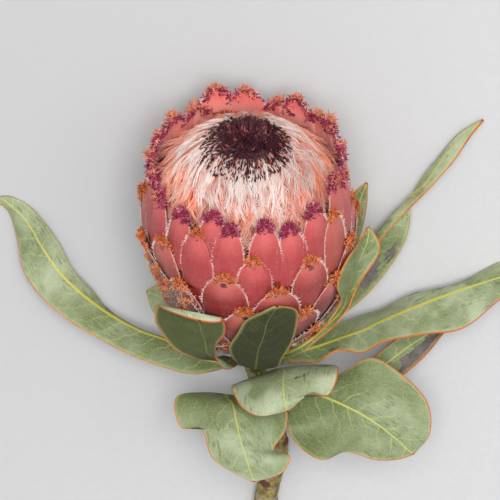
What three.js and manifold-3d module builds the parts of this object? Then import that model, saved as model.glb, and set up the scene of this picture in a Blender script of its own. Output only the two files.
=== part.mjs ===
// A cut protea flower with its stem and leaves, lying on a surface, in millimetres.
// The sprig is described in its own frame: x to the right, y up along the sprig as it is seen
// from the front, z towards the viewer, and the origin at the neck, where the bloom sits on the
// stem. The whole sprig is then laid down, so that the bloom's back, the stem's cut end and the
// tips of the two longest leaves touch the surface. The origin of the part is the flat spot
// under the bloom, with +Z up.
import * as THREE from 'three';
import { mergeVertices } from 'three/addons/utils/BufferGeometryUtils.js';
import Module from 'manifold-3d';

const wasm = await Module();
wasm.setup();

// How the sprig lies
const LYING_TILT = 26;
const NECK_HEIGHT = 31.2;
const NECK_TO_RESTING_SPOT = 59.9;
const BLOOM_LEAN = 43;

// The bloom, in its own frame: z is the height above the neck along its axis, -y is its front
const BLOOM_PROFILE = [
  [0, 8], [6, 15], [15, 26], [30, 40], [45, 48.5], [60, 53],
  [75, 55], [90, 54.5], [105, 52.5], [118, 50], [130, 47.5], [138, 46],
];
const LEFT_SLIMMING = 0.115;
const CORE_DEPTH = 3;
const CORE_BASE_RADIUS = 7;
const CUP_FLOOR = 104;
const CUP_RIM = 116;
const CUP_WALL = 2;
const CORE_STEPS = [5, 11, 20, 32, 46, 60, 76, 92];
const CORE_SIDES = 24;

// Bracts, in one spiral from the neck to the rim
const DIVERGENCE = 137.5;
const BRACT_COUNT = 91;
const RIM_BRACTS = 21;
const BASE_BRACTS = 10;
const BASE_RISE = 2.2;
const BODY_RISE = 1.5;
const RIM_RISE = 0.4;
const REAR_RIM_RISE = 6;
const FIRST_TIP_HEIGHT = 8;
const FRONT_BRACT = 62;
const FRONT_BRACT_AZIMUTH = 4;
const BRACT_LENGTH = 26;
const BRACT_HALF_WIDTH = 10.6;
const RIM_BRACT_HALF_WIDTH = 7.6;
const BRACT_THICKNESS = 0.95;
const BRACT_PROUD = 0.8;
const BRACT_ROOT_DEPTH = 4;
const BRACT_CUP = 1.1;
const BRACT_OUTLINE = [[0, 0.6], [0.5, 1], [0.85, 0.78], [1, 0.12]];
const TUFT_LENGTH = 4.2;
const TUFT_RADII = [1.7, 0.5];

// The dome of florets and its dark centre. The dome is part of a ball, whose radius follows from
// how wide it is at the cup's floor and how high its top stands.
const DOME_TOP = 138;
const DOME_EDGE = 43;
const SEAT_GAP = 0.3;
const DOME_STEPS = 7;
const DOME_SIDES = 36;
const FLORET_COUNT = 54;
const FLORET_RADII = [0.6, 1.5, 0.5];
const FLORET_REACH = 0.42;
const FLORET_HUMP = 1.4;
const DARK_CENTRE_RADIUS = 20.5;
const DARK_CENTRE_RISE = 3;
const DARK_EDGE_RISE = 0.9;
const DARK_TIP_LENGTH = 2.4;
const DARK_TIP_COUNT = 21;
const DARK_TIP_RADII = [1.1, 0.4];
const DARK_STEPS = 5;
const DOME_FOOT = CUP_FLOOR + SEAT_GAP;
const DOME_RADIUS = (DOME_EDGE ** 2 + (DOME_TOP - DOME_FOOT) ** 2) / (2 * (DOME_TOP - DOME_FOOT));

// Leaves
const LEAF_THICKNESS = 0.9;
const LEAF_STATIONS = 15;
const LEAF_COLUMNS = 5;
const LEAF_TO_BLOOM = 2.2;
const STALK_THICKENING = 1.5;
const STALK_REACH = [3.6, 8.5];
const STALK_HALF_WIDTH = 2;
const STALK_LIFT = 0.4;

const toRadians = THREE.MathUtils.degToRad;
const point = (x, y, z) => new THREE.Vector3(x, y, z);

// A seeded draw, so that the part is the same each time
function seededDraw(seed) {
  let state = seed;
  return () => {
    state = (state * 1664525 + 1013904223) % 4294967296;
    return state / 4294967296;
  };
}

// Smooth curve through [x, y] pairs, read at one x
function readProfile(pairs, x) {
  const last = pairs.length - 1;
  let i = 0;
  while (i < last - 1 && x > pairs[i + 1][0]) i += 1;
  const slopeAt = (k) => {
    const a = pairs[Math.max(k - 1, 0)];
    const b = pairs[Math.min(k + 1, last)];
    return (b[1] - a[1]) / (b[0] - a[0]);
  };
  const [x0, y0] = pairs[i];
  const [x1, y1] = pairs[i + 1];
  const span = x1 - x0;
  const t = THREE.MathUtils.clamp((x - x0) / span, 0, 1);
  const t2 = t * t;
  const t3 = t2 * t;
  return (2 * t3 - 3 * t2 + 1) * y0 + (t3 - 2 * t2 + t) * span * slopeAt(i)
    + (3 * t2 - 2 * t3) * y1 + (t3 - t2) * span * slopeAt(i + 1);
}

const bloomRadius = (height) => readProfile(BLOOM_PROFILE, height);

// A closed solid from its corner points and triangles, turned so that its faces point out
function closedSolid(corners, triangles) {
  let volume = 0;
  for (const [a, b, c] of triangles) {
    volume += corners[a].dot(corners[b].clone().cross(corners[c]));
  }
  const outward = volume > 0 ? triangles : triangles.map(([a, b, c]) => [a, c, b]);
  return new wasm.Manifold(new wasm.Mesh({
    numProp: 3,
    vertProperties: new Float32Array(corners.flatMap((corner) => corner.toArray())),
    triVerts: new Uint32Array(outward.flat()),
  }));
}

// A closed solid from a three.js geometry, after an optional move
function solidFromGeometry(geometry, matrix = new THREE.Matrix4()) {
  const bare = geometry.clone().applyMatrix4(matrix);
  bare.deleteAttribute('normal');
  bare.deleteAttribute('uv');
  const merged = mergeVertices(bare, 1e-4);
  return new wasm.Manifold(new wasm.Mesh({
    numProp: 3,
    vertProperties: new Float32Array(merged.attributes.position.array),
    triVerts: new Uint32Array(merged.index.array),
  }));
}

// The solid between two grids of points. Both faces are split into triangles alike, so that a
// waved blade's faces never cross.
function sheetSolid(top, bottom) {
  const rows = top.length;
  const columns = top[0].length;
  const corners = [...top.flat(), ...bottom.flat()];
  const under = rows * columns;
  const triangles = [];
  for (let i = 0; i < rows - 1; i += 1) {
    for (let j = 0; j < columns - 1; j += 1) {
      const a = i * columns + j;
      const c = a + columns;
      triangles.push([a, a + 1, c + 1], [a, c + 1, c]);
      triangles.push([under + a, under + c + 1, under + a + 1], [under + a, under + c, under + c + 1]);
    }
  }
  const rim = [];
  for (let j = 0; j < columns - 1; j += 1) rim.push(j);
  for (let i = 0; i < rows - 1; i += 1) rim.push(i * columns + columns - 1);
  for (let j = columns - 1; j > 0; j -= 1) rim.push((rows - 1) * columns + j);
  for (let i = rows - 1; i > 0; i -= 1) rim.push(i * columns);
  rim.forEach((a, k) => {
    const b = rim[(k + 1) % rim.length];
    triangles.push([a, under + a, under + b], [a, under + b, b]);
  });
  return closedSolid(corners, triangles);
}

// A thin blade: a grid of mid-surface points, given half its thickness on each side
function bladeSolid(grid, halfThickness) {
  const rows = grid.length;
  const columns = grid[0].length;
  const face = (side) => grid.map((row, i) => row.map((place, j) => {
    const along = grid[Math.min(i + 1, rows - 1)][j].clone().sub(grid[Math.max(i - 1, 0)][j]);
    const across = row[Math.min(j + 1, columns - 1)].clone().sub(row[Math.max(j - 1, 0)]);
    const normal = along.cross(across).normalize();
    return place.clone().addScaledVector(normal, side * halfThickness(i));
  }));
  return sheetSolid(face(1), face(-1));
}

// A tapering strand with a three-sided section along a list of points
function strandSolid(path, radii, sideways) {
  const corners = [];
  path.forEach((place, i) => {
    const along = path[Math.min(i + 1, path.length - 1)].clone().sub(path[Math.max(i - 1, 0)]);
    const across = sideways.clone().addScaledVector(along, -sideways.dot(along) / along.lengthSq());
    across.normalize();
    const up = along.clone().normalize().cross(across);
    for (let k = 0; k < 3; k += 1) {
      const turn = (k * 2 * Math.PI) / 3;
      corners.push(place.clone().addScaledVector(across, radii[i] * Math.sin(turn))
        .addScaledVector(up, radii[i] * Math.cos(turn)));
    }
  });
  const triangles = [[0, 1, 2]];
  for (let i = 0; i < path.length - 1; i += 1) {
    for (let k = 0; k < 3; k += 1) {
      const a = i * 3 + k;
      const b = i * 3 + ((k + 1) % 3);
      triangles.push([a, b + 3, b], [a, a + 3, b + 3]);
    }
  }
  const end = corners.length;
  triangles.push([end - 3, end - 1, end - 2]);
  return closedSolid(corners, triangles);
}

const unite = (solids) => solids.reduce((whole, next) => whole.add(next));

function nodeMesh(name, solid, material) {
  const { vertProperties, triVerts } = solid.getMesh();
  const geometry = new THREE.BufferGeometry();
  geometry.setAttribute('position', new THREE.BufferAttribute(vertProperties, 3));
  geometry.setIndex(new THREE.BufferAttribute(triVerts, 1));
  geometry.computeVertexNormals();
  const mesh = new THREE.Mesh(geometry, material);
  mesh.name = name;
  return mesh;
}

// The frames: the sprig laid on the surface, and the bloom leaning forward on its neck
const sprig = new THREE.Group();
sprig.position.set(0, -NECK_TO_RESTING_SPOT, NECK_HEIGHT);
sprig.rotation.x = toRadians(-LYING_TILT);
const bloom = new THREE.Group();
bloom.rotation.x = toRadians(BLOOM_LEAN - 90);
sprig.add(bloom);
sprig.updateMatrixWorld(true);
const sprigFromWorld = sprig.matrixWorld.clone().invert();
const bloomFromSprig = bloom.matrix.clone().invert();
const bloomFromWorld = bloom.matrixWorld.clone().invert();

// A point of the bloom by azimuth from its front, radius and height
function bloomPoint(azimuth, radius, height) {
  return point(radius * Math.sin(azimuth), -radius * Math.cos(azimuth), height);
}

// The share of the bloom's radius that is left at a place: its left side is slimmer lower down
function leftSlimming(azimuth, height) {
  const low = THREE.MathUtils.smoothstep(94 - height, 0, 34);
  return 1 - LEFT_SLIMMING * low * THREE.MathUtils.smoothstep(-Math.sin(azimuth), 0.25, 0.85);
}

// Place of each bract's tip and the size of its blade
function bractPlace(index) {
  const rimStart = BRACT_COUNT - RIM_BRACTS;
  const onBase = Math.min(index, BASE_BRACTS);
  const onBody = THREE.MathUtils.clamp(index - BASE_BRACTS, 0, rimStart - BASE_BRACTS);
  const onRim = Math.max(index - rimStart, 0);
  const azimuth = toRadians(FRONT_BRACT_AZIMUTH + DIVERGENCE * (index - FRONT_BRACT));
  const rimShare = THREE.MathUtils.smoothstep(index, rimStart - RIM_BRACTS, rimStart);
  const tipHeight = FIRST_TIP_HEIGHT + onBase * BASE_RISE + onBody * BODY_RISE + onRim * RIM_RISE
    + REAR_RIM_RISE * rimShare * (1 - Math.cos(azimuth)) / 2;
  const baseShare = Math.min(1, 0.5 + tipHeight / 60);
  const bodyWidth = BRACT_HALF_WIDTH * baseShare;
  return {
    azimuth,
    tipHeight,
    halfWidth: THREE.MathUtils.lerp(bodyWidth, RIM_BRACT_HALF_WIDTH, rimShare),
    length: Math.min(BRACT_LENGTH, tipHeight * 0.85),
  };
}

// A point of a bract's blade: along runs from 0 at the root to 1 at the tip, across from -1 to 1
function bractPoint(place, along, across) {
  const height = place.tipHeight - place.length * (1 - along);
  const offset = place.halfWidth * readProfile(BRACT_OUTLINE, along) * across;
  const rootDepth = BRACT_ROOT_DEPTH * (place.length / BRACT_LENGTH);
  const radius = bloomRadius(height) + BRACT_PROUD - rootDepth * (1 - along)
    - BRACT_CUP * across * across;
  const azimuth = place.azimuth + offset / radius;
  return bloomPoint(azimuth, radius * leftSlimming(azimuth, height), height);
}

function bractSolids(index, draw) {
  const place = bractPlace(index);
  const outer = BRACT_OUTLINE.map(([along]) => [-1, 0, 1].map((across) => bractPoint(place, along, across)));
  // Below the cup's floor a bract sinks into the core, and above it stands free and thin
  const inner = outer.map((row) => row.map((corner) => {
    const reach = Math.hypot(corner.x, corner.y);
    const free = THREE.MathUtils.smoothstep(corner.z, CUP_FLOOR - 4, CUP_FLOOR + 2);
    const depth = THREE.MathUtils.lerp(BRACT_ROOT_DEPTH + 1, BRACT_THICKNESS, free);
    return point(corner.x, corner.y, 0).multiplyScalar(1 - depth / reach).setZ(corner.z);
  }));
  const parts = [sheetSolid(outer, inner)];
  const sideways = point(Math.cos(place.azimuth), Math.sin(place.azimuth), 0);
  const outward = bloomPoint(place.azimuth, 1, 0);
  if (index >= BRACT_COUNT - RIM_BRACTS) {
    const root = bractPoint(place, 0.93, 0);
    const tip = bractPoint(place, 1, 0).addScaledVector(sideways, draw() - 0.5);
    tip.addScaledVector(outward, 1 + draw());
    tip.z += TUFT_LENGTH * (0.4 + 0.3 * draw());
    parts.push(strandSolid([root, tip], TUFT_RADII, sideways));
  }
  return parts;
}

// Bracts: the leathery pink scales in a spiral over the bloom's cup
function makeBracts() {
  const profile = [new THREE.Vector2(0, 0), new THREE.Vector2(CORE_BASE_RADIUS, 0)];
  for (const height of [...CORE_STEPS, CUP_FLOOR]) {
    profile.push(new THREE.Vector2(bloomRadius(height) - CORE_DEPTH, height));
  }
  const rimRadius = bloomRadius(CUP_RIM) - CORE_DEPTH * 0.6;
  profile.push(new THREE.Vector2(rimRadius, CUP_RIM));
  profile.push(new THREE.Vector2(rimRadius - CUP_WALL, CUP_RIM));
  profile.push(new THREE.Vector2(bloomRadius(CUP_FLOOR) - CORE_DEPTH - CUP_WALL, CUP_FLOOR));
  profile.push(new THREE.Vector2(0, CUP_FLOOR));
  const lathe = new THREE.LatheGeometry(profile, CORE_SIDES);
  lathe.rotateX(Math.PI / 2);
  const corners = lathe.attributes.position;
  for (let i = 0; i < corners.count; i += 1) {
    const share = leftSlimming(Math.atan2(corners.getX(i), -corners.getY(i)), corners.getZ(i));
    corners.setXY(i, corners.getX(i) * share, corners.getY(i) * share);
  }
  const core = solidFromGeometry(lathe);
  const draw = seededDraw(11);
  const scales = [];
  for (let index = 0; index < BRACT_COUNT; index += 1) scales.push(...bractSolids(index, draw));
  // The bloom's back rests flat: what would lie below the surface is cut off
  const surface = new THREE.BoxGeometry(400, 400, 40);
  const belowSurface = new THREE.Matrix4().makeTranslation(0, 0, -20).premultiply(bloomFromWorld);
  return unite([core, ...scales]).subtract(solidFromGeometry(surface, belowSurface));
}

// A point on the dome: azimuth from the front, and angle from the dome's top
function domePoint(azimuth, fromTop, above) {
  const reach = DOME_RADIUS + above;
  return bloomPoint(azimuth, reach * Math.sin(fromTop), DOME_TOP - DOME_RADIUS + reach * Math.cos(fromTop));
}

// Florets: the silky white strands that lie outwards over a dome
function makeFloretDome() {
  const footAngle = Math.acos((DOME_FOOT - DOME_TOP + DOME_RADIUS) / DOME_RADIUS);
  const profile = [new THREE.Vector2(0, DOME_FOOT)];
  for (let k = DOME_STEPS; k >= 1; k -= 1) {
    const place = domePoint(Math.PI / 2, (footAngle * k) / DOME_STEPS, 0);
    profile.push(new THREE.Vector2(place.x, place.z));
  }
  profile.push(new THREE.Vector2(0, DOME_TOP));
  const lathe = new THREE.LatheGeometry(profile, DOME_SIDES);
  const core = solidFromGeometry(lathe, new THREE.Matrix4().makeRotationX(Math.PI / 2));
  const draw = seededDraw(5);
  const strands = [];
  const innerAngle = Math.asin((DARK_CENTRE_RADIUS + 2.5) / DOME_RADIUS);
  for (let index = 0; index < FLORET_COUNT; index += 1) {
    const azimuth = toRadians(DIVERGENCE * index);
    const share = (index + 0.5) / FLORET_COUNT;
    const start = THREE.MathUtils.lerp(innerAngle, footAngle - 0.27, share);
    const end = Math.min(start + FLORET_REACH, footAngle - 0.03 - 0.04 * draw());
    const bow = (draw() - 0.5) * 0.16;
    const path = [[0, -0.5], [0.45, FLORET_HUMP], [1, 0.2]].map(([t, above]) => domePoint(
      azimuth + bow * t * (1 - t) * 4,
      THREE.MathUtils.lerp(start, end, t),
      above,
    ));
    const sideways = point(Math.cos(azimuth), Math.sin(azimuth), 0);
    strands.push(strandSolid(path, FLORET_RADII, sideways));
  }
  return unite([core, ...strands]);
}

// How far the dark centre stands above the dome, from 0 at its middle to 1 at its edge
function darkCentreRise(share) {
  return SEAT_GAP + DARK_EDGE_RISE + (DARK_CENTRE_RISE - DARK_EDGE_RISE) * (1 - share * share);
}

// Dark centre: the tuft of unopened, dark tips at the top of the dome
function makeDarkCentre() {
  const rimAngle = Math.asin(DARK_CENTRE_RADIUS / DOME_RADIUS);
  const profile = [];
  for (let k = 0; k <= DARK_STEPS; k += 1) {
    const place = domePoint(Math.PI / 2, (rimAngle * k) / DARK_STEPS, SEAT_GAP);
    profile.push(new THREE.Vector2(place.x, place.z));
  }
  for (let k = DARK_STEPS; k >= 0; k -= 1) {
    const place = domePoint(Math.PI / 2, (rimAngle * k) / DARK_STEPS, darkCentreRise(k / DARK_STEPS));
    profile.push(new THREE.Vector2(place.x, place.z));
  }
  profile[0].x = 0;
  profile[profile.length - 1].x = 0;
  const lathe = new THREE.LatheGeometry(profile, CORE_SIDES);
  const cap = solidFromGeometry(lathe, new THREE.Matrix4().makeRotationX(Math.PI / 2));
  const draw = seededDraw(23);
  const tips = [];
  for (let index = 0; index < DARK_TIP_COUNT; index += 1) {
    const azimuth = toRadians(DIVERGENCE * index);
    const share = 0.88 * Math.sqrt((index + 0.5) / DARK_TIP_COUNT);
    const fromTop = rimAngle * share;
    const root = domePoint(azimuth, fromTop, darkCentreRise(share) - 0.4);
    const tip = domePoint(
      azimuth + 0.2 * (draw() - 0.5),
      fromTop + 0.06,
      darkCentreRise(share) + DARK_TIP_LENGTH,
    );
    const sideways = point(Math.cos(azimuth), Math.sin(azimuth), 0);
    tips.push(strandSolid([root, tip], DARK_TIP_RADII, sideways));
  }
  return unite([cap, ...tips]);
}

// Stem: from just under the bloom down to the cut end, which lies on the surface
const STEM_PATH = new THREE.CatmullRomCurve3([
  point(0, -0.22, -0.2),
  point(0.1, -4, -3.75),
  point(4.4, -15.1, -14),
  point(10.8, -37.2, -33),
  point(16, -58.4, -50),
  point(11.5, -78.3, -65),
  point(9.4, -89, -71.1),
  point(8.2, -101, -76.8),
]);
const STEM_RADIUS = 5;
const STEM_END_RADIUS = 6.2;
const STEM_SIDES = 12;
const STEM_RINGS = 26;
const SCAR_COUNT = 9;
const SCAR_RISE = 0.55;
const SCARS_START = 0.28;
const SCARS_FULL = 0.36;

// The stem's solid. The scars of fallen leaves wind round its lower part.
function stemSolid(extraRadius) {
  const corners = [];
  const triangles = [];
  for (let i = 0; i <= STEM_RINGS; i += 1) {
    const share = i / STEM_RINGS;
    const centre = STEM_PATH.getPointAt(share);
    const along = STEM_PATH.getTangentAt(share);
    const across = point(1, 0, 0).addScaledVector(along, -along.x).normalize();
    const up = across.clone().cross(along).normalize();
    for (let k = 0; k < STEM_SIDES; k += 1) {
      const turn = (k * 2 * Math.PI) / STEM_SIDES;
      const scar = Math.max(0, Math.cos(share * SCAR_COUNT * 2 * Math.PI - turn)) ** 4
        * THREE.MathUtils.smoothstep(share, SCARS_START, SCARS_FULL)
        * THREE.MathUtils.smoothstep(1 - share, 0, 0.2);
      const plain = THREE.MathUtils.lerp(STEM_RADIUS, STEM_END_RADIUS, share);
      const radius = plain + SCAR_RISE * scar + extraRadius;
      corners.push(centre.clone().addScaledVector(across, radius * Math.cos(turn))
        .addScaledVector(up, radius * Math.sin(turn)));
    }
  }
  for (let i = 0; i < STEM_RINGS; i += 1) {
    for (let k = 0; k < STEM_SIDES; k += 1) {
      const a = i * STEM_SIDES + k;
      const b = i * STEM_SIDES + ((k + 1) % STEM_SIDES);
      triangles.push([a, b, b + STEM_SIDES], [a, b + STEM_SIDES, a + STEM_SIDES]);
    }
  }
  const lastRing = STEM_RINGS * STEM_SIDES;
  for (let k = 1; k < STEM_SIDES - 1; k += 1) {
    triangles.push([0, k + 1, k], [lastRing, lastRing + k, lastRing + k + 1]);
  }
  return closedSolid(corners, triangles);
}

// Leaves: each is a loft through ribs, which are listed from the stem to the tip. A rib holds a
// point on one margin, one on the midrib and one on the other margin, in the sprig's frame.
const LEAVES = {
  leaf_long_left: {
    alongStem: 15,
    aroundStem: -100,
    firstSide: -1,
    ribs: [
      [[-13.3, -8.7, -8], [-14.4, -10.7, -8], [-15.9, -14.9, -6]],
      [[-24.8, -5.5, -14], [-27.9, -8.1, -9], [-28.4, -17, -5]],
      [[-41.4, -2.9, -18], [-41.4, -0.3, -10], [-45.6, -12.8, -5]],
      [[-57.5, 2.8, -19], [-57, 5.4, -11], [-62.2, -6.6, -6]],
      [[-72.6, 14.2, -20], [-73.1, 14.2, -12], [-77.8, 1.7, -7]],
      [[-80.4, 25.1, -16], [-86.1, 24.1, -10], [-93.4, 11.1, -6]],
      [[-90.8, 36.6, -10], [-97.6, 35.5, -8], [-106.9, 22.5, -8]],
      [[-98.1, 51.1, -6], [-106.9, 49.1, -5], [-116.3, 36.1, -8]],
      [[-105.7, 62, -1], [-114, 62, 2], [-119.7, 55.3, -3]],
      [[-115.2, 71.8, 1], [-120.9, 69.2, 3], [-123.5, 67.7, 1]],
      [[-125.5, 76.4, 1], [-128.1, 74.3, 1.5], [-129.7, 72.1, 0]],
      [[-135.2, 72.8, -1.2], [-135.4, 72.1, -1.4], [-135.3, 71.4, -1.6]],
    ],
  },
  leaf_left_front: {
    alongStem: 9,
    aroundStem: -68,
    firstSide: -1,
    ribs: [
      [[-13, -7, 13], [-8.5, -9, 15], [-5, -10.5, 15]],
      [[-18, -8, 27], [-10.5, -10, 30], [-7, -12, 30]],
      [[-22, -7.5, 41], [-13.5, -7.5, 47], [-12, -12, 44]],
      [[-28.5, -5.5, 54], [-19.6, -3, 61], [-15.5, -6, 58]],
      [[-37.2, -0.3, 62], [-20.9, 3.2, 70], [-15, 1.2, 69]],
      [[-42.9, 7.8, 66], [-22.3, 8.3, 78], [-11, 6.3, 78]],
      [[-45.3, 13.2, 69], [-23.7, 14.3, 84], [-10.4, 11.3, 85]],
      [[-44.1, 20.2, 74], [-24, 16.8, 88], [-11.9, 14.3, 89]],
      [[-41, 18.8, 79], [-23, 13, 91], [-12.4, 12.9, 91]],
    ],
  },
  leaf_centre_front: {
    alongStem: 14,
    aroundStem: 8,
    firstSide: -1,
    ribs: [
      [[0, -11, 18], [3.5, -12, 22], [7.5, -12, 19]],
      [[-5, -9, 40], [4, -11.5, 44], [15, -11, 38]],
      [[-9, 0, 70], [5.5, -1, 71.5], [17.5, -5.5, 58]],
      [[-4.6, 7.5, 83], [7.7, 5.5, 81.5], [21.5, 1.5, 66]],
      [[-0.7, 13.5, 90.5], [9.5, 12.6, 89.5], [24, 10.5, 78]],
      [[7, 17.5, 95], [12, 17, 95], [24, 18.5, 88.5]],
      [[13, 20.5, 98], [14.3, 20.5, 98], [16, 20.5, 97.5]],
    ],
  },
  leaf_right_front: {
    alongStem: 8,
    aroundStem: 60,
    firstSide: 1,
    ribs: [
      [[15, -3, 11], [16, -6, 11], [16, -8.5, 9]],
      [[26.6, 3, 34], [27.5, -1, 32], [27, -4.5, 28]],
      [[37.3, 13, 50], [39.8, 10, 42], [41.3, 7.5, 42]],
      [[44.8, 21.5, 58], [47.3, 18.5, 46], [49.8, 17.5, 48]],
      [[42.8, 30, 77], [49.8, 27.5, 56], [53.3, 26.5, 54]],
      [[44.3, 36.5, 81], [52.3, 36.5, 60], [57.3, 33.5, 56]],
      [[48.8, 45, 79], [56.3, 45, 62], [64.8, 44.5, 58]],
      [[53.3, 51, 70], [58.8, 51.5, 62], [65.8, 50, 60]],
      [[57.3, 54.5, 64], [59.8, 55, 61], [63.3, 55, 61]],
      [[59.2, 59, 61], [59.8, 59, 60.5], [60.4, 59, 60]],
    ],
  },
  leaf_right_rising: {
    alongStem: 12,
    aroundStem: 108,
    firstSide: 1,
    ribs: [
      [[26, 10, -8], [27, 6, -10], [29, 1, -12]],
      [[50.6, 23.6, -2], [45.4, 26.7, -6], [53.2, 16.4, -6]],
      [[62.3, 41.3, 3], [58.1, 43.4, -1], [68.5, 31.5, -2]],
      [[71, 55.2, 7], [68.4, 56.8, 4], [80.8, 50.6, 2]],
      [[81.1, 66.6, 11], [77.5, 68.1, 8], [83.7, 61.9, 5]],
      [[86.1, 71.7, 14], [84.5, 75.8, 12], [84, 73.2, 9]],
      [[94.5, 80.3, 18], [91, 81.3, 16], [87.9, 81.8, 12]],
      [[105.3, 92.9, 23], [101.2, 96, 21], [98.7, 96, 17]],
      [[113.2, 105, 26], [110.7, 105.5, 24], [108.2, 107.1, 22]],
      [[119.8, 113.2, 27.3], [119.6, 113.5, 27], [119.3, 113.9, 26.7]],
    ],
  },
  leaf_long_right: {
    alongStem: 19,
    aroundStem: 85,
    firstSide: 1,
    ribs: [
      [[25, -3, -11], [26.3, -6, -7], [27.3, -10.7, -4]],
      [[39, 4, -13], [37.7, -2.5, -7], [35.5, -10.9, -2]],
      [[49, 9, -15], [48.1, 1.2, -7], [46.5, -4.6, 0]],
      [[59.5, 13, -16], [59.7, 5.3, -6], [59.7, -5.7, 1]],
      [[69, 16, -15], [69.1, 9.9, -5], [69.1, -0.6, 3]],
      [[88, 25, -13], [89.9, 18.8, -4], [89.9, 3.7, 4]],
      [[106.5, 28.2, -13], [111, 26.6, -4], [111, 6.8, 3]],
      [[132, 41.2, -14], [132.2, 33.4, -7], [132, 22.4, -2]],
      [[151, 47.5, -13], [153.5, 41.2, -12], [153.5, 34.4, -11]],
      [[169.6, 45.6, -14.4], [169.7, 44.9, -14.7], [169.6, 44.2, -15]],
    ],
  },
  leaf_behind_right: {
    alongStem: 41,
    aroundStem: 95,
    firstSide: 1,
    ribs: [
      [[27.6, -25.2, -24], [30.2, -28.9, -24], [32.8, -34.1, -24]],
      [[51.3, -20.9, -23], [55, -25.2, -23], [61.8, -31.5, -20]],
      [[67.1, -8.3, -20], [75, -10.4, -22], [82.3, -17.8, -20]],
      [[75.5, -1.5, -19], [85.5, -2.5, -20], [93.4, -7.8, -18]],
      [[85.5, 5.4, -17], [95, 3.8, -18], [101.8, 2.8, -16]],
      [[106, 10, -15], [106.5, 9.6, -15], [107, 9.2, -15]],
    ],
  },
  leaf_lower_right: {
    alongStem: 26,
    aroundStem: 75,
    firstSide: 1,
    ribs: [
      [[28.8, -15.9, -6], [25.2, -23.2, -4], [18.9, -33.1, -8]],
      [[47, -17, -4], [41.6, -29.2, 2], [23.1, -50, -6]],
      [[63.8, -8.3, 0], [55.5, -35.5, 6], [38.4, -60.9, 4]],
      [[78.7, -16, 2], [67.2, -42.5, 7], [50.3, -56.7, 2]],
      [[93.2, -31.5, 0], [77, -50.4, 5], [65.6, -60.7, 6]],
      [[94.2, -48, 0], [82.9, -55.8, 2], [78.7, -60.5, 2]],
      [[86.5, -57.5, 0], [86, -58, 0], [85.5, -58.5, 0]],
    ],
  },
  leaf_centre_lower: {
    alongStem: 20,
    aroundStem: 22,
    firstSide: -1,
    ribs: [
      [[1.3, -19.9, 8], [14.1, -14.2, 10], [27, -13.2, 6]],
      [[-7.9, -22.4, 20], [18.6, -14.2, 24], [44.6, -11.7, 18]],
      [[-5.8, -28, 28], [18, -20.4, 34], [45.8, -15.8, 28]],
      [[-2.3, -32.6, 34], [18.4, -26.1, 38], [40.6, -26.1, 34]],
      [[5.3, -36.1, 38], [19.4, -30.5, 39], [32, -24.5, 38]],
      [[19.2, -33.6, 37], [19.9, -33.6, 36.8], [20.6, -33.6, 36.5]],
    ],
  },
  leaf_lower_left: {
    alongStem: 36,
    aroundStem: -20,
    firstSide: -1,
    ribs: [
      [[-21.6, -26.9, -8], [-11.2, -28.4, -8], [7.5, -32.6, -8]],
      [[-37, -29.1, 0], [-7.5, -33.2, 5], [19.9, -35.3, -2]],
      [[-34.3, -43.7, 8], [-5.4, -42.6, 10], [19.3, -46.2, 2]],
      [[-24.4, -44, 10], [-3.4, -51.2, 12], [13.6, -55.3, 4]],
      [[-18.3, -58.9, 9], [-0.3, -60.4, 12], [21.8, -58.9, 10]],
      [[-8, -66.6, 10], [1.8, -67.1, 10], [18.2, -66.6, 10]],
      [[2.6, -71.7, 8], [3.3, -71.7, 8], [4, -71.7, 8]],
    ],
  },
  leaf_rear_left: {
    alongStem: 7,
    aroundStem: -145,
    firstSide: -1,
    ribs: [
      [[-9, 7.5, -15], [-11.8, 3.1, -13], [-14.5, -1, -14]],
      [[-19.5, 20.5, -20], [-25, 12, -17.5], [-30, 3.5, -20]],
      [[-31, 28, -21], [-36.5, 18.7, -19.5], [-41.5, 9.5, -22]],
      [[-41.5, 31, -20], [-46, 22.9, -20], [-49.5, 15, -21.5]],
      [[-53, 26.5, -20], [-53, 25.5, -20], [-53, 24.5, -20]],
    ],
  },
  leaf_rear_right: {
    alongStem: 7,
    aroundStem: 150,
    firstSide: 1,
    ribs: [
      [[12, 7, -18], [16.9, 3.1, -17], [21, -1, -18]],
      [[24, 21, -17], [32.6, 18.8, -14], [40.3, 15, -16]],
      [[38, 42, -14], [45.5, 39.7, -12], [51, 36, -12]],
      [[47, 60, -4], [53.2, 57.9, -3], [58.6, 55.2, -3]],
      [[53.5, 75, 3], [58.2, 73.4, 3], [61.5, 70, 3]],
      [[61, 82.5, 6], [61.5, 82, 6], [62, 81.5, 6]],
    ],
  },
};

// A leaf lies on the bracts where it meets them, and on the surface where it meets that
function settle(place) {
  const local = place.clone().applyMatrix4(bloomFromSprig);
  const reach = Math.hypot(local.x, local.y);
  if (local.z > 0 && local.z < BLOOM_PROFILE[BLOOM_PROFILE.length - 1][0]) {
    const least = bloomRadius(local.z) + LEAF_TO_BLOOM;
    if (reach < least) {
      const push = least / Math.max(reach, 1);
      local.set(local.x * push, local.y * push, local.z);
      place.copy(local.applyMatrix4(bloom.matrix));
    }
  }
  const laid = place.clone().applyMatrix4(sprig.matrixWorld);
  if (laid.z < LEAF_THICKNESS / 2) {
    laid.z = LEAF_THICKNESS / 2;
    place.copy(laid.applyMatrix4(sprigFromWorld));
  }
  return place;
}

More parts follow.
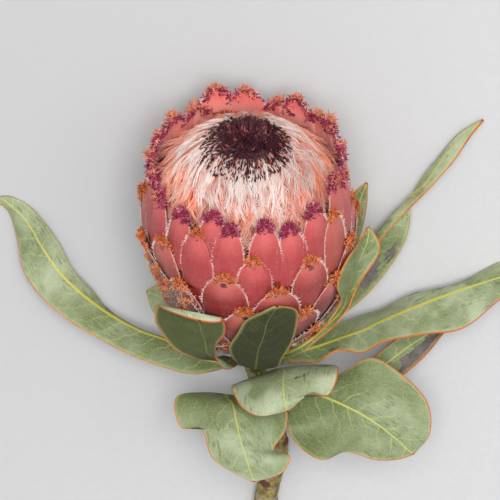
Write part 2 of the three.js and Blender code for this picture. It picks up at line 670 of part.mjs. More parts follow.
// The two ribs of a leaf's stalk: one inside the stem and one just clear of it
function stalkRibs({ alongStem, aroundStem, firstSide }) {
  const share = alongStem / STEM_PATH.getLength();
  const centre = STEM_PATH.getPointAt(share);
  const along = STEM_PATH.getTangentAt(share);
  const across = point(1, 0, 0).addScaledVector(along, -along.x).normalize();
  const turn = toRadians(aroundStem);
  const front = across.clone().cross(along).negate();
  const outward = across.clone().multiplyScalar(Math.sin(turn)).addScaledVector(front, Math.cos(turn));
  const sideways = along.clone().cross(outward).negate();
  return STALK_REACH.map((reach) => {
    const middle = centre.clone().addScaledVector(outward, reach)
      .addScaledVector(along, -STALK_LIFT * Math.max(0, reach - STEM_RADIUS));
    const side = (sign) => middle.clone().addScaledVector(sideways, sign * STALK_HALF_WIDTH);
    return [side(firstSide), middle, side(-firstSide)];
  });
}

function leafSolid(leaf) {
  const ribs = [...stalkRibs(leaf), ...leaf.ribs.map((rib) => rib.map((place) => point(...place)))];
  const rails = [0, 1, 2].map((side) => new THREE.CatmullRomCurve3(ribs.map((rib) => rib[side])));
  const grid = [];
  for (let i = 0; i < LEAF_STATIONS; i += 1) {
    const t = rails[1].getUtoTmapping(i / (LEAF_STATIONS - 1));
    const [left, middle, right] = rails.map((rail) => rail.getPoint(t));
    const row = [];
    for (let j = 0; j < LEAF_COLUMNS; j += 1) {
      const v = (2 * j) / (LEAF_COLUMNS - 1) - 1;
      const place = middle.clone().multiplyScalar(1 - v * v)
        .addScaledVector(left, (v * v - v) / 2).addScaledVector(right, (v * v + v) / 2);
      row.push(settle(place));
    }
    grid.push(row);
  }
  const thickness = (i) => LEAF_THICKNESS / 2
    + STALK_THICKENING / 2 * Math.exp((-10 * i) / (LEAF_STATIONS - 1));
  return bladeSolid(grid, thickness);
}

// Materials
const BRACT_PINK = new THREE.MeshStandardMaterial({ color: 0xd9767a, roughness: 0.62, metalness: 0 });
const FLORET_WHITE = new THREE.MeshStandardMaterial({ color: 0xefdcd6, roughness: 0.85, metalness: 0 });
const TIP_DARK = new THREE.MeshStandardMaterial({ color: 0x2b1824, roughness: 0.9, metalness: 0 });
const LEAF_GREEN = new THREE.MeshStandardMaterial({ color: 0x8a9c86, roughness: 0.6, metalness: 0 });
const STEM_OLIVE = new THREE.MeshStandardMaterial({ color: 0x8f8a52, roughness: 0.8, metalness: 0 });

bloom.add(nodeMesh('bracts', makeBracts(), BRACT_PINK));
bloom.add(nodeMesh('floret_dome', makeFloretDome(), FLORET_WHITE));
bloom.add(nodeMesh('dark_centre', makeDarkCentre(), TIP_DARK));
sprig.add(nodeMesh('stem', stemSolid(0), STEM_OLIVE));
const stemRoom = stemSolid(SEAT_GAP);
for (const [name, leaf] of Object.entries(LEAVES)) {
  sprig.add(nodeMesh(name, leafSolid(leaf).subtract(stemRoom), LEAF_GREEN));
}

const group = new THREE.Group();
group.add(sprig);
export default group;
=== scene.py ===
import math
import random

import bpy
from mathutils import Matrix, Vector, noise


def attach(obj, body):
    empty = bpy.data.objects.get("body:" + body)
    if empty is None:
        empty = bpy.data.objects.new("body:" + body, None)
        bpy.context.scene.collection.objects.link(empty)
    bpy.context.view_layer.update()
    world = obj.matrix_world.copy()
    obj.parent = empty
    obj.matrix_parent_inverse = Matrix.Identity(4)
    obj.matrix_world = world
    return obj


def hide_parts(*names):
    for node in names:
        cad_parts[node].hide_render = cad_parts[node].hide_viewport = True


# A cut protea flower on its stem, with twelve leaves, lying on a pale floor. Distances are in
# metres. Lengths that are read more easily in millimetres are multiplied by MM.
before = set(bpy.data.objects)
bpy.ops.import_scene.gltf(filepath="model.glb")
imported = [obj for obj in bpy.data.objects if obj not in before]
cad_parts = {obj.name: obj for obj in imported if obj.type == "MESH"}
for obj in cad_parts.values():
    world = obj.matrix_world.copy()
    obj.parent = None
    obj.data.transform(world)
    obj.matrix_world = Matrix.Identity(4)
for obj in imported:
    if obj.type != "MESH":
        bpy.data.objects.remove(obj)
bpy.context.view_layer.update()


# Camera
# The sprig lies tilted back from upright by the same angle as in the solids, and the camera looks
# straight at its front, down onto the floor.
MM = 0.001
LYING_TILT = math.radians(26)
NECK = Vector((0, -59.9, 31.2)) * MM
AIM = Vector((1.25, 47.5, 47.7)) * MM
CAMERA_DISTANCE = 1.35
VIEW_WIDTH = 0.25
SENSOR_WIDTH = 36

sprig = Matrix.Translation(NECK) @ Matrix.Rotation(-LYING_TILT, 4, "X")
bpy.ops.object.select_all(action="DESELECT")
bpy.ops.object.camera_add()
camera = bpy.context.object
camera.matrix_world = sprig @ Matrix.Translation(AIM + Vector((0, 0, CAMERA_DISTANCE)))
camera.data.sensor_width = SENSOR_WIDTH
camera.data.lens = SENSOR_WIDTH * CAMERA_DISTANCE / VIEW_WIDTH
bpy.context.scene.camera = camera
bpy.context.scene.view_settings.view_transform = "Standard"


# Floor and light
# A seamless sheet of pale matt paper, with painted light that makes it a little brighter towards
# the lower right of the view, with a soft box above the camera, a larger one at each side, and even
# light from the room.
FLOOR_SIZE = 8
FLOOR_GAP = 0.0003
SUBJECT = Vector((0.01, 0.01, 0.05))


def colour(red, green, blue):
    """A colour by its red, green and blue from 0 to 255, as a screen shows it."""
    def linear(value):
        share = value / 255
        return share / 12.92 if share < 0.04045 else ((share + 0.055) / 1.055) ** 2.4
    return linear(red), linear(green), linear(blue), 1


class Value:
    """A number or a colour that a material's nodes work out. Sums on it add more nodes."""

    def __init__(self, tree, socket):
        self.tree = tree
        self.socket = socket

    def __add__(self, other):
        return calc("ADD", self, other)

    def __radd__(self, other):
        return calc("ADD", other, self)

    def __sub__(self, other):
        return calc("SUBTRACT", self, other)

    def __rsub__(self, other):
        return calc("SUBTRACT", other, self)

    def __mul__(self, other):
        return calc("MULTIPLY", self, other)

    def __truediv__(self, other):
        return calc("DIVIDE", self, other)

    def __abs__(self):
        return calc("ABSOLUTE", self)


def feed(node, key, value):
    """Links a value to a node's input, or sets the input to a plain number or colour."""
    if isinstance(value, Value):
        value.tree.links.new(value.socket, node.inputs[key])
    else:
        node.inputs[key].default_value = value


def add_node(tree, kind, output, inputs=(), **settings):
    """The value that a new node puts out. Its inputs are pairs of a key and what feeds it."""
    node = tree.nodes.new(kind)
    for key, value in settings.items():
        setattr(node, key, value)
    for key, value in inputs:
        feed(node, key, value)
    return Value(tree, node.outputs[output])


def calc(operation, *values):
    """A sum on values and plain numbers."""
    tree = [value.tree for value in values if isinstance(value, Value)][0]
    return add_node(tree, "ShaderNodeMath", 0, enumerate(values), operation=operation)


def fade(value, start, end, low=0, high=1):
    """Goes smoothly from low to high as the value goes from start to end."""
    pairs = [("Value", value), ("From Min", start), ("From Max", end), ("To Min", low), ("To Max", high)]
    return add_node(value.tree, "ShaderNodeMapRange", "Result", pairs, interpolation_type="SMOOTHSTEP")


def painted(base, *coats):
    """A colour with coats over it. A coat is the share of it that shows, and its colour."""
    for share, coat in coats:
        tints = [colour(*tint) if isinstance(tint, tuple) else tint for tint in (base, coat)]
        pairs = [(0, share), (6, tints[0]), (7, tints[1])]
        base = add_node(share.tree, "ShaderNodeMix", 2, pairs, data_type="RGBA")
    return base


def in_space(*numbers):
    """A place from two or three numbers."""
    return add_node(numbers[0].tree, "ShaderNodeCombineXYZ", 0, enumerate(numbers))


def grain(tree, size, place=None, detail=3, distortion=0):
    """Cloudy noise whose patches are about the given size in metres."""
    place = place or add_node(tree, "ShaderNodeTexCoord", "Object")
    pairs = [("Vector", place), ("Scale", 1 / size), ("Detail", detail), ("Distortion", distortion)]
    return add_node(tree, "ShaderNodeTexNoise", "Fac", pairs)


def cells(place, scale, feature="F1"):
    """The distance from the middle of the nearest cell of a random pattern, or from its edge."""
    pairs = [("Vector", place), ("Scale", scale)]
    return add_node(place.tree, "ShaderNodeTexVoronoi", "Distance", pairs, feature=feature)


def surface_value(tree, name):
    """A number stored on the mesh's points."""
    return add_node(tree, "ShaderNodeAttribute", "Fac", attribute_name=name)


def new_finish(name, roughness, specular=0.5):
    """A new material with its node tree and its shader."""
    material = bpy.data.materials.new(name)
    material.use_nodes = True
    shader = material.node_tree.nodes["Principled BSDF"]
    feed(shader, "Roughness", roughness)
    feed(shader, "Specular IOR Level", specular)
    return material, material.node_tree, shader


def roughen(shader, height, distance):
    """Relief from a height, given the depth in metres that a height of one stands for."""
    pairs = [("Height", height), ("Distance", distance)]
    feed(shader, "Normal", add_node(height.tree, "ShaderNodeBump", "Normal", pairs))


paper, tree, shader = new_finish("floor_paper", 0.95, 0.1)
paper_fibre = grain(tree, 0.004)
paper_place = add_node(tree, "ShaderNodeTexCoord", "Object")
to_right, upward = [
    add_node(tree, "ShaderNodeSeparateXYZ", axis, [("Vector", paper_place)]) for axis in "XY"
]
# Painted light: the paper grows lighter towards the lower right of the view.
feed(shader, "Base Color", painted(
    (177, 177, 177),
    (fade(to_right - upward, -0.35, 0.35), (196, 196, 196)),
    (fade(paper_fibre, 0.3, 0.7, 0, 0.15), (176, 176, 176)),
))
roughen(shader, paper_fibre, 0.00002)
bpy.ops.mesh.primitive_plane_add(size=FLOOR_SIZE)
floor = bpy.context.object
floor.name = "floor"
floor.data.materials.append(paper)

world = bpy.data.worlds.new("studio")
world.use_nodes = True
room = world.node_tree.nodes["Background"]
room.inputs["Color"].default_value = colour(250, 251, 255)
room.inputs["Strength"].default_value = 0.47
bpy.context.scene.world = world


def soft_box(direction, distance, size, power):
    """A square soft light that faces the flower."""
    bpy.ops.object.light_add(type="AREA", location=SUBJECT + direction.normalized() * distance)
    lamp = bpy.context.object
    lamp.rotation_euler = direction.to_track_quat("Z", "Y").to_euler()
    lamp.data.size = size
    lamp.data.energy = power


soft_box(Vector((-0.4, 0.6, 1.1)), 2.2, 2, 4)
soft_box(Vector((0.6, 0.4, 1.05)), 2.2, 2, 12)
soft_box(Vector((0.03, 0.4, 0.9)), 2.4, 1.2, 57)


# Stem
# Woody and about a centimetre thick, olive green, with the scars of fallen leaves and grey down
# between them. It is cut square at its lower end.
STEM_PATH = [
    (0, -0.22, -0.2), (0.1, -4, -3.75), (4.4, -15.1, -14), (10.8, -37.2, -33),
    (16, -58.4, -50), (11.5, -78.3, -65), (9.4, -89, -71.1), (8.2, -101, -76.8),
]
STEM_RADIUS = 5
STEM_END_RADIUS = 6.2
SCAR_COUNT = 9
SCAR_RISE = 1
SCAR_SHORTNESS = 4.2
SCAR_NARROWNESS = 2.6
SCARS_BEGIN = (0.28, 0.36)
BARK_KNOBS = 0.22
GOLDEN_TURN = math.radians(137.5)
STEM_ROWS = 150
STEM_COLUMNS = 36
STEM_SMOOTH_ANGLE = math.radians(50)
CUT_INSETS = (0.0009, 0.0025)
WELD_DISTANCE = 1e-6
STEM_DOWN_COUNT = 1500
STEM_DOWN_LENGTH = (0.5, 1.1)
STEM_DOWN_RADII = (0.07, 0.05)


def blend(start, end, share):
    return start + (end - start) * share


def smooth_step(value, start, end):
    share = min(1, max(0, (value - start) / (end - start)))
    return share * share * (3 - 2 * share)


def rail(points):
    """A centripetal curve through points: the function takes 0 to 1 and gives a place."""
    knots = [Vector(place) for place in points]
    knots = [2 * knots[0] - knots[1]] + knots + [2 * knots[-1] - knots[-2]]

    def place_at(share):
        spot = share * (len(knots) - 3)
        first = min(int(spot), len(knots) - 4)
        weight = spot - first
        before, start, end, after = knots[first:first + 4]
        gaps = [max((b - a).length ** 0.5, 1e-4) for a, b in ((before, start), (start, end), (end, after))]
        leaving = ((start - before) / gaps[0] - (end - before) / (gaps[0] + gaps[1])
                   + (end - start) / gaps[1]) * gaps[1]
        arriving = ((end - start) / gaps[1] - (after - start) / (gaps[1] + gaps[2])
                    + (after - end) / gaps[2]) * gaps[1]
        square = (end - start) * 3 - leaving * 2 - arriving
        cube = (start - end) * 2 + leaving + arriving
        return start + leaving * weight + square * weight ** 2 + cube * weight ** 3

    return place_at


def measured(curve):
    """The curve's own length, and a function from a share of that length to its parameter."""
    steps = 200
    spots = [curve(k / steps) for k in range(steps + 1)]
    lengths = [0]
    for before, after in zip(spots, spots[1:]):
        lengths.append(lengths[-1] + (after - before).length)

    def parameter(share):
        wanted = share * lengths[-1]
        k = 0
        while k < steps - 1 and lengths[k + 1] < wanted:
            k += 1
        return (k + (wanted - lengths[k]) / (lengths[k + 1] - lengths[k])) / steps

    return lengths[-1], parameter


def laid_sheet(name, columns, rows, place):
    """A grid of cells, each point of which is laid at place(across, along), both 0 to 1."""
    bpy.ops.object.select_all(action="DESELECT")
    bpy.ops.mesh.primitive_grid_add(x_subdivisions=columns, y_subdivisions=rows, size=2)
    sheet = bpy.context.object
    sheet.name = name
    for vertex in sheet.data.vertices:
        vertex.co = place((vertex.co.x + 1) / 2, (vertex.co.y + 1) / 2)
    return sheet


def store(piece, name, values):
    """Stores one number for each point of the mesh, for a material to read."""
    piece.data.attributes.new(name, "FLOAT", "POINT").data.foreach_set("value", values)


def above_floor(place):
    """What would reach through the floor lies on it."""
    return Vector((place.x, place.y, max(place.z, FLOOR_GAP)))


def hairs(name, strands, finish, space):
    """Many three-sided hairs as one mesh, too many and too fine to model by hand. A strand is its
    places and radii, in millimetres in the given space, and its tone. Its last place is its point."""
    corners = []
    faces = []
    along = []
    tones = []
    for places, radii, tone in strands:
        path = [space @ (place * MM) for place in places]
        side = (path[1] - path[0]).orthogonal()
        last = len(path) - 1
        for i in range(last):
            heading = (path[i + 1] - path[max(i - 1, 0)]).normalized()
            across = (side - heading * side.dot(heading)).normalized()
            up = heading.cross(across)
            first = len(corners)
            for turn in (0, math.tau / 3, math.tau * 2 / 3):
                spoke = across * math.cos(turn) + up * math.sin(turn)
                corners.append(above_floor(path[i] + spoke * (radii[i] * MM)))
            along += [i / last] * 3
            ring = (first, first + 1, first + 2)
            if i == 0:
                faces.append(ring[::-1])
            for a, b in zip(ring, ring[1:] + ring[:1]):
                if i < last - 1:
                    faces.append((a, b, b + 3, a + 3))
                else:
                    faces.append((a, b, first + 3))
        corners.append(above_floor(path[last]))
        along.append(1)
        tones += [tone] * (3 * last + 1)
    mesh = bpy.data.meshes.new(name)
    mesh.from_pydata(corners, [], faces)
    mesh.materials.append(finish)
    piece = bpy.data.objects.new(name, mesh)
    bpy.context.scene.collection.objects.link(piece)
    store(piece, "along", along)
    store(piece, "tone", tones)
    return piece


def keep(piece, slot, *nodes):
    """A finished piece rides on the part's one body, hiding the solids it replaces. Its slot is not used."""
    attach(piece, "root")
    if nodes:
        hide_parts(*nodes)


stem_rail = rail(STEM_PATH)
stem_length, stem_parameter = measured(stem_rail)


def stem_frame(share):
    """The stem's centre at a share of its length, with its heading, its right and its front."""
    parameter = stem_parameter(share)
    step = 0.0001
    start = stem_rail(max(parameter - step, 0))
    heading = (stem_rail(min(parameter + step, 1)) - start).normalized()
    right = (Vector((1, 0, 0)) - heading * heading.x).normalized()
    return stem_rail(parameter), heading, right, heading.cross(right)


stem_frames = [stem_frame(i / STEM_ROWS) for i in range(STEM_ROWS + 1)]


def stem_scar(share, turn):
    """How much of a leaf's scar is at a place on the bark, from 0 to 1. The scars wind round it."""
    ring = share * SCAR_COUNT
    turned = round(ring) * GOLDEN_TURN - turn
    from_scar = math.hypot((ring - round(ring)) * SCAR_SHORTNESS, math.sin(turned / 2) * SCAR_NARROWNESS)
    shown = smooth_step(share, *SCARS_BEGIN) * smooth_step(1 - share, 0, 0.1)
    return shown * smooth_step(1 - from_scar, 0, 0.7)


def stem_radius(share, turn):
    knobs = noise.noise(Vector((3 * math.cos(turn), 3 * math.sin(turn), share * 40)))
    bark = blend(STEM_RADIUS, STEM_END_RADIUS, share) + SCAR_RISE * stem_scar(share, turn)
    return bark + BARK_KNOBS * knobs


def stem_place(across, along):
    """A point on the bark: across runs round the stem, and along from the neck to the cut."""
    centre, heading, right, front = stem_frames[round(along * STEM_ROWS)]
    turn = math.tau * (1 - across)
    reach = stem_radius(along, turn)
    place = centre + (right * math.cos(turn) - front * math.sin(turn)) * reach
    return sprig @ (place * MM)


bark, tree, shader = new_finish("stem_bark", 0.75, 0.3)
cloud = grain(tree, 0.004)
fibre = grain(tree, 0.0012, detail=5)
lenticels = cells(add_node(tree, "ShaderNodeTexCoord", "Object"), 210)
scarred = fade(surface_value(tree, "scar"), 0.3, 0.6)
spots = calc("MAXIMUM", fade(lenticels + fibre, 0.68, 0.56) * 0.6, scarred)
feed(shader, "Base Color", painted(
    (152, 138, 72),
    (fade(cloud, 0.35, 0.65), (112, 96, 56)),
    (fade(grain(tree, 0.007, detail=2), 0.5, 0.58, 0, 0.85), (152, 136, 122)),
    (fade(fibre, 0.55, 0.7), (84, 58, 48)),
    (spots * 0.85, (82, 42, 32)),
    (surface_value(tree, "pith"), painted((196, 186, 140), (fade(fibre, 0.4, 0.6), (172, 158, 112)))),
))
roughen(shader, fibre + spots * 0.6, 0.0006)

stem = laid_sheet("stem_bark", STEM_COLUMNS, STEM_ROWS, stem_place)
bpy.ops.object.mode_set(mode="EDIT")
bpy.ops.mesh.select_all(action="SELECT")
bpy.ops.mesh.remove_doubles(threshold=WELD_DISTANCE)
bpy.ops.mesh.select_all(action="DESELECT")
bpy.ops.mesh.select_non_manifold()
bpy.ops.mesh.edge_face_add()
for thickness in CUT_INSETS:
    bpy.ops.mesh.inset(thickness=thickness)
bpy.ops.mesh.select_all(action="SELECT")
bpy.ops.mesh.normals_make_consistent(inside=False)
bpy.ops.object.mode_set(mode="OBJECT")
cut_centre = sprig @ (stem_frames[-1][0] * MM)
cut_heading = sprig.to_3x3() @ stem_frames[-1][1]
on_cut = [abs((v.co - cut_centre).dot(cut_heading)) < 1e-5 for v in stem.data.vertices]
inside = [(v.co - cut_centre).length < (STEM_END_RADIUS - 0.6) * MM for v in stem.data.vertices]
store(stem, "pith", [float(a and b) for a, b in zip(on_cut, inside)])
scars = []
for vertex in stem.data.vertices:
    local = sprig.inverted() @ vertex.co / MM
    nearest = min(range(STEM_ROWS + 1), key=lambda i: (stem_frames[i][0] - local).length)
    centre, heading, right, front = stem_frames[nearest]
    turn = math.atan2(-(local - centre).dot(front), (local - centre).dot(right))
    scars.append(stem_scar(nearest / STEM_ROWS, turn))
store(stem, "scar", scars)
stem.data.materials.append(bark)
bpy.ops.object.shade_smooth_by_angle(angle=STEM_SMOOTH_ANGLE)
keep(stem, "stem_bark", "stem")

down, tree, shader = new_finish("stem_down", 0.9, 0.2)
feed(shader, "Base Color", painted(
    (150, 144, 132),
    (surface_value(tree, "tone"), (98, 78, 60)),
    (fade(grain(tree, 0.003), 0.4, 0.6), (176, 170, 158)),
))

draw = random.Random(3)
down_strands = []
for _ in range(STEM_DOWN_COUNT):
    share = draw.uniform(0.01, 0.97)
    turn = draw.uniform(0, math.tau)
    patch = noise.noise(Vector((2 * math.cos(turn), 2 * math.sin(turn), share * 14)))
    if patch < -0.1:
        continue
    centre, heading, right, front = stem_frame(share)
    outward = right * math.cos(turn) - front * math.sin(turn)
    root = centre + outward * (stem_radius(share, turn) - 0.2)
    lean = heading * draw.uniform(-1, 1) + outward.cross(heading) * draw.uniform(-1, 1)
    length = draw.uniform(*STEM_DOWN_LENGTH)
    bend = root + (outward + lean * 0.3) * length
    tip = bend + (outward * 0.4 + lean) * length * 0.7
    down_strands.append(((root, bend, tip), STEM_DOWN_RADII, draw.random()))
keep(hairs("stem_down", down_strands, down, sprig), "stem_bark")


# Bracts
# Leathery salmon-pink scales in one spiral over the bloom's cup, each with a thin pale margin.
# The lowest are brownish, and those of the rim stand free round the florets.
BLOOM_LEAN = math.radians(43)
BLOOM_PROFILE = [
    (0, 8), (6, 15), (15, 26), (30, 40), (45, 48.5), (60, 53),
    (75, 55), (90, 54.5), (105, 52.5), (118, 50), (130, 47.5), (138, 46),
]
LEFT_SLIMMING = 0.115
CORE_DEPTH = 3
CUP_FLOOR = 104
BRACT_COUNT = 91
RIM_BRACTS = 21
BASE_BRACTS = 10
BASE_RISE = 2.2
BODY_RISE = 1.5
RIM_RISE = 0.4
REAR_RIM_RISE = 6
FIRST_TIP_HEIGHT = 8
FRONT_BRACT = 62
FRONT_BRACT_AZIMUTH = math.radians(4)
BRACT_LENGTH = 34
BRACT_HALF_WIDTH = 11.8
RIM_BRACT_HALF_WIDTH = 8
REAR_RIM_WIDENING = 2.4
RIM_LEAN = 2.6
BRACT_PROUD = 0.8
BRACT_ROOT_DEPTH = 3.4
BRACT_CUP = 1.1
BRACT_OUTLINE = [
    (0, 0.95), (0.35, 1.02), (0.52, 0.98), (0.66, 0.88), (0.79, 0.69), (0.89, 0.46), (0.96, 0.24), (1, 0.06),
]
REAR_RIM_OUTLINE = [(0, 0.95), (0.5, 1.02), (0.7, 0.94), (0.84, 0.76), (0.93, 0.5), (0.98, 0.26), (1, 0.1)]
BRACT_THICKNESS = 0.9
BRACT_AZIMUTH_SCATTER = 0.025
BRACT_TIP_SCATTER = 1.3
BRACT_WIDTH_SCATTER = (0.94, 1.05)
BRACT_SKEW = 1.2
BRACT_FLARE = (-0.4, 0.9)
WITHERED_COUNT = 26
WITHERED_LENGTH = 14
WITHERED_HALF_WIDTH = 4.4
WITHERED_SCATTER = (0.8, 1.2)
WITHERED_HEIGHTS = (44, 84)
WITHERED_AZIMUTH = -50
WITHERED_SPREAD = 18
WORN_BELOW = 88
WORN_LEFT_BELOW = 96
BROWN_BELOW = 58
BRACT_COLUMNS = 8
BRACT_ROWS = 12
BRACT_SMOOTH_ANGLE = math.radians(60)

bloom = sprig @ Matrix.Rotation(BLOOM_LEAN - math.pi / 2, 4, "X")


def read_profile(pairs, x):
    """A smooth curve through pairs of numbers, read at one x."""
    last = len(pairs) - 1
    i = 0
    while i < last - 1 and x > pairs[i + 1][0]:
        i += 1

    def slope(k):
        a = pairs[max(k - 1, 0)]
        b = pairs[min(k + 1, last)]
        return (b[1] - a[1]) / (b[0] - a[0])

    span = pairs[i + 1][0] - pairs[i][0]
    t = min(1, max(0, (x - pairs[i][0]) / span))
    start = (2 * t ** 3 - 3 * t ** 2 + 1) * pairs[i][1] + (t ** 3 - 2 * t ** 2 + t) * span * slope(i)
    return start + (3 * t ** 2 - 2 * t ** 3) * pairs[i + 1][1] + (t ** 3 - t ** 2) * span * slope(i + 1)


def bloom_radius(height):
    return read_profile(BLOOM_PROFILE, height)


def bloom_point(azimuth, radius, height):
    """A point of the bloom, in millimetres along its own axis, by azimuth from its front."""
    return Vector((radius * math.sin(azimuth), -radius * math.cos(azimuth), height))


def slim_point(azimuth, radius, height):
    """The same for what covers the cup, whose left side is slimmer lower down."""
    low = smooth_step(94 - height, 0, 34)
    left = smooth_step(-math.sin(azimuth), 0.25, 0.85)
    return bloom_point(azimuth, radius * (1 - LEFT_SLIMMING * low * left), height)


class Bract:
    """The place and size of one bract, counted from the neck."""

    def __init__(self, index, draw):
        rim_start = BRACT_COUNT - RIM_BRACTS
        on_base = min(index, BASE_BRACTS)
        on_body = min(max(index - BASE_BRACTS, 0), rim_start - BASE_BRACTS)
        on_rim = max(index - rim_start, 0)
        self.rim = smooth_step(index, rim_start - RIM_BRACTS, rim_start)
        self.azimuth = FRONT_BRACT_AZIMUTH + GOLDEN_TURN * (index - FRONT_BRACT)
        self.rear = (1 - math.cos(self.azimuth)) / 2
        self.tip_height = (FIRST_TIP_HEIGHT + on_base * BASE_RISE + on_body * BODY_RISE
                           + on_rim * RIM_RISE + REAR_RIM_RISE * self.rim * self.rear)
        body_width = BRACT_HALF_WIDTH * min(1, 0.5 + self.tip_height / 60)
        rim_width = RIM_BRACT_HALF_WIDTH + REAR_RIM_WIDENING * self.rear
        self.half_width = blend(body_width, rim_width, self.rim)
        self.length = min(BRACT_LENGTH, self.tip_height * 0.85)
        self.on_rim = index >= rim_start
        self.tone = draw.random()
        self.skew = draw.uniform(-BRACT_SKEW, BRACT_SKEW)
        self.azimuth += draw.gauss(0, BRACT_AZIMUTH_SCATTER)
        scatter = draw.uniform(-BRACT_TIP_SCATTER, BRACT_TIP_SCATTER)
        self.tip_height += scatter * (0.4 + self.rim + 0.8 * self.rim * self.rear)
        self.half_width *= draw.uniform(*BRACT_WIDTH_SCATTER)
        self.flare = draw.uniform(*BRACT_FLARE)
        self.proud = BRACT_PROUD + 0.4 * (index % 2)
        self.withered = 0

    def wither(self, azimuth, tip_height, draw):
        """Makes it one of the small dead scales that lie over the others low on the left."""
        self.azimuth = azimuth
        self.tip_height = tip_height
        self.length = WITHERED_LENGTH * draw.uniform(*WITHERED_SCATTER)
        self.half_width = WITHERED_HALF_WIDTH * draw.uniform(*WITHERED_SCATTER)
        self.flare = draw.uniform(0, 0.5)
        self.proud = BRACT_PROUD + 0.6
        self.withered = 1

    def half_width_at(self, along):
        """Half the bract's width at a share of its length. The rear rim's bracts are blunter."""
        pointed = read_profile(BRACT_OUTLINE, along)
        return self.half_width * blend(pointed, read_profile(REAR_RIM_OUTLINE, along), self.rim * self.rear)

    def point(self, across, along, above=0):
        """A point of the outer face: across from -1 to 1, along from 0 at the root to 1."""
        height = self.tip_height - self.length * (1 - along)
        offset = self.half_width_at(along) * across + self.skew * along ** 2
        root_depth = BRACT_ROOT_DEPTH * self.length / BRACT_LENGTH
        radius = bloom_radius(height) + self.proud - root_depth * (1 - along) - BRACT_CUP * across ** 2
        radius += self.flare * max(0, along - 0.6) / 0.4 - RIM_LEAN * self.rim * along ** 2
        return slim_point(self.azimuth + offset / radius, radius + above, height)


def crowded(s, t):
    """A point's place across and along a bract. The points crowd at its margins and its tip."""
    return math.sin((s - 0.5) * math.pi), 1 - (1 - t) ** 1.3


scale_finish, tree, shader = new_finish("bract_skin", 0.5, 0.35)
along = surface_value(tree, "along")
across = surface_value(tree, "across")
edge = surface_value(tree, "margin_mm")
bract_tone = surface_value(tree, "tone")
worn = surface_value(tree, "worn")
rim_share = surface_value(tree, "rim")
inner_face = surface_value(tree, "inner")
streaks = grain(tree, 1, in_space(across * 5, along * 1.6, bract_tone * 37), detail=4)
patches = grain(tree, 0.007, detail=4)
# A painted highlight: the middle of each bract, towards its tip, is paler.
painted_heart_highlight = fade(abs(across), 0.85, 0.1) * fade(along, 0.4, 0.8)
# The inner faces have their own coral, lightened with painted light for the glow through the thin bracts.
lining_with_painted_glow = painted(
    (255, 162, 152),
    (fade(along, 0.5, 0.95), (255, 120, 118)),
    (fade(streaks, 0.4, 0.7, 0, 0.4), (255, 166, 150)),
)
dust = fade(grain(tree, 0.0016, detail=5), 0.5, 0.75, 0, 0.2)
near_tip = fade(along, 0.72, 0.97) * (1 - rim_share)
spot_reach = in_space(across * 2.6, (along - 0.84) * 15)
spot_distance = add_node(tree, "ShaderNodeVectorMath", "Value", [(0, spot_reach)], operation="LENGTH")
spot = fade(spot_distance + grain(tree, 0.0013), 1.45, 0.95)
spotted = spot * fade(bract_tone, 0.25, 0.35) * (1 - rim_share)
worn_edge = worn + (patches - 0.5) * 1.4
ragged = edge + grain(tree, 0.0012) * 0.9
# Towards its root each bract is darker: its own deeper red, and painted shade where others overlap it.
feed(shader, "Base Color", painted(
    (116, 18, 22),
    (fade(along, 0.46, 0.9), (178, 80, 76)),
    (painted_heart_highlight * 0.45, (206, 112, 108)),
    (fade(streaks, 0.35, 0.7, 0, 0.09), (206, 122, 110)),
    (fade(patches, 0.48, 0.75, 0, 0.45), (170, 50, 48)),
    (rim_share * 0.4, (208, 90, 92)),
    (fade(bract_tone, 0.6, 1, 0, 0.4), (172, 92, 72)),
    (dust, (194, 136, 116)),
    (inner_face, lining_with_painted_glow),
    (near_tip * fade(patches, 0.3, 0.6, 0.35, 0.8), (180, 122, 104)),
    (spotted * 0.94, (66, 12, 8)),
    (fade(worn_edge, 0.25, 0.75, 0, 0.8), (112, 34, 26)),
    (fade(worn_edge, 0.8, 1.2, 0, 0.7), (128, 90, 70)),
    (surface_value(tree, "neck"), painted((72, 38, 26), (fade(patches, 0.4, 0.65), (116, 72, 52)))),
    (fade(ragged, 1.1, 0.5) * fade(patches, 0.35, 0.6, 0.75, 0.3), (232, 204, 192)),
))
feed(shader, "Subsurface Weight", 0.12 + inner_face * 0.7)
feed(shader, "Subsurface Radius", (0.004, 0.001, 0.001))
feed(shader, "Sheen Weight", 0.06)
roughen(shader, streaks * 0.15 + patches, 0.0006)

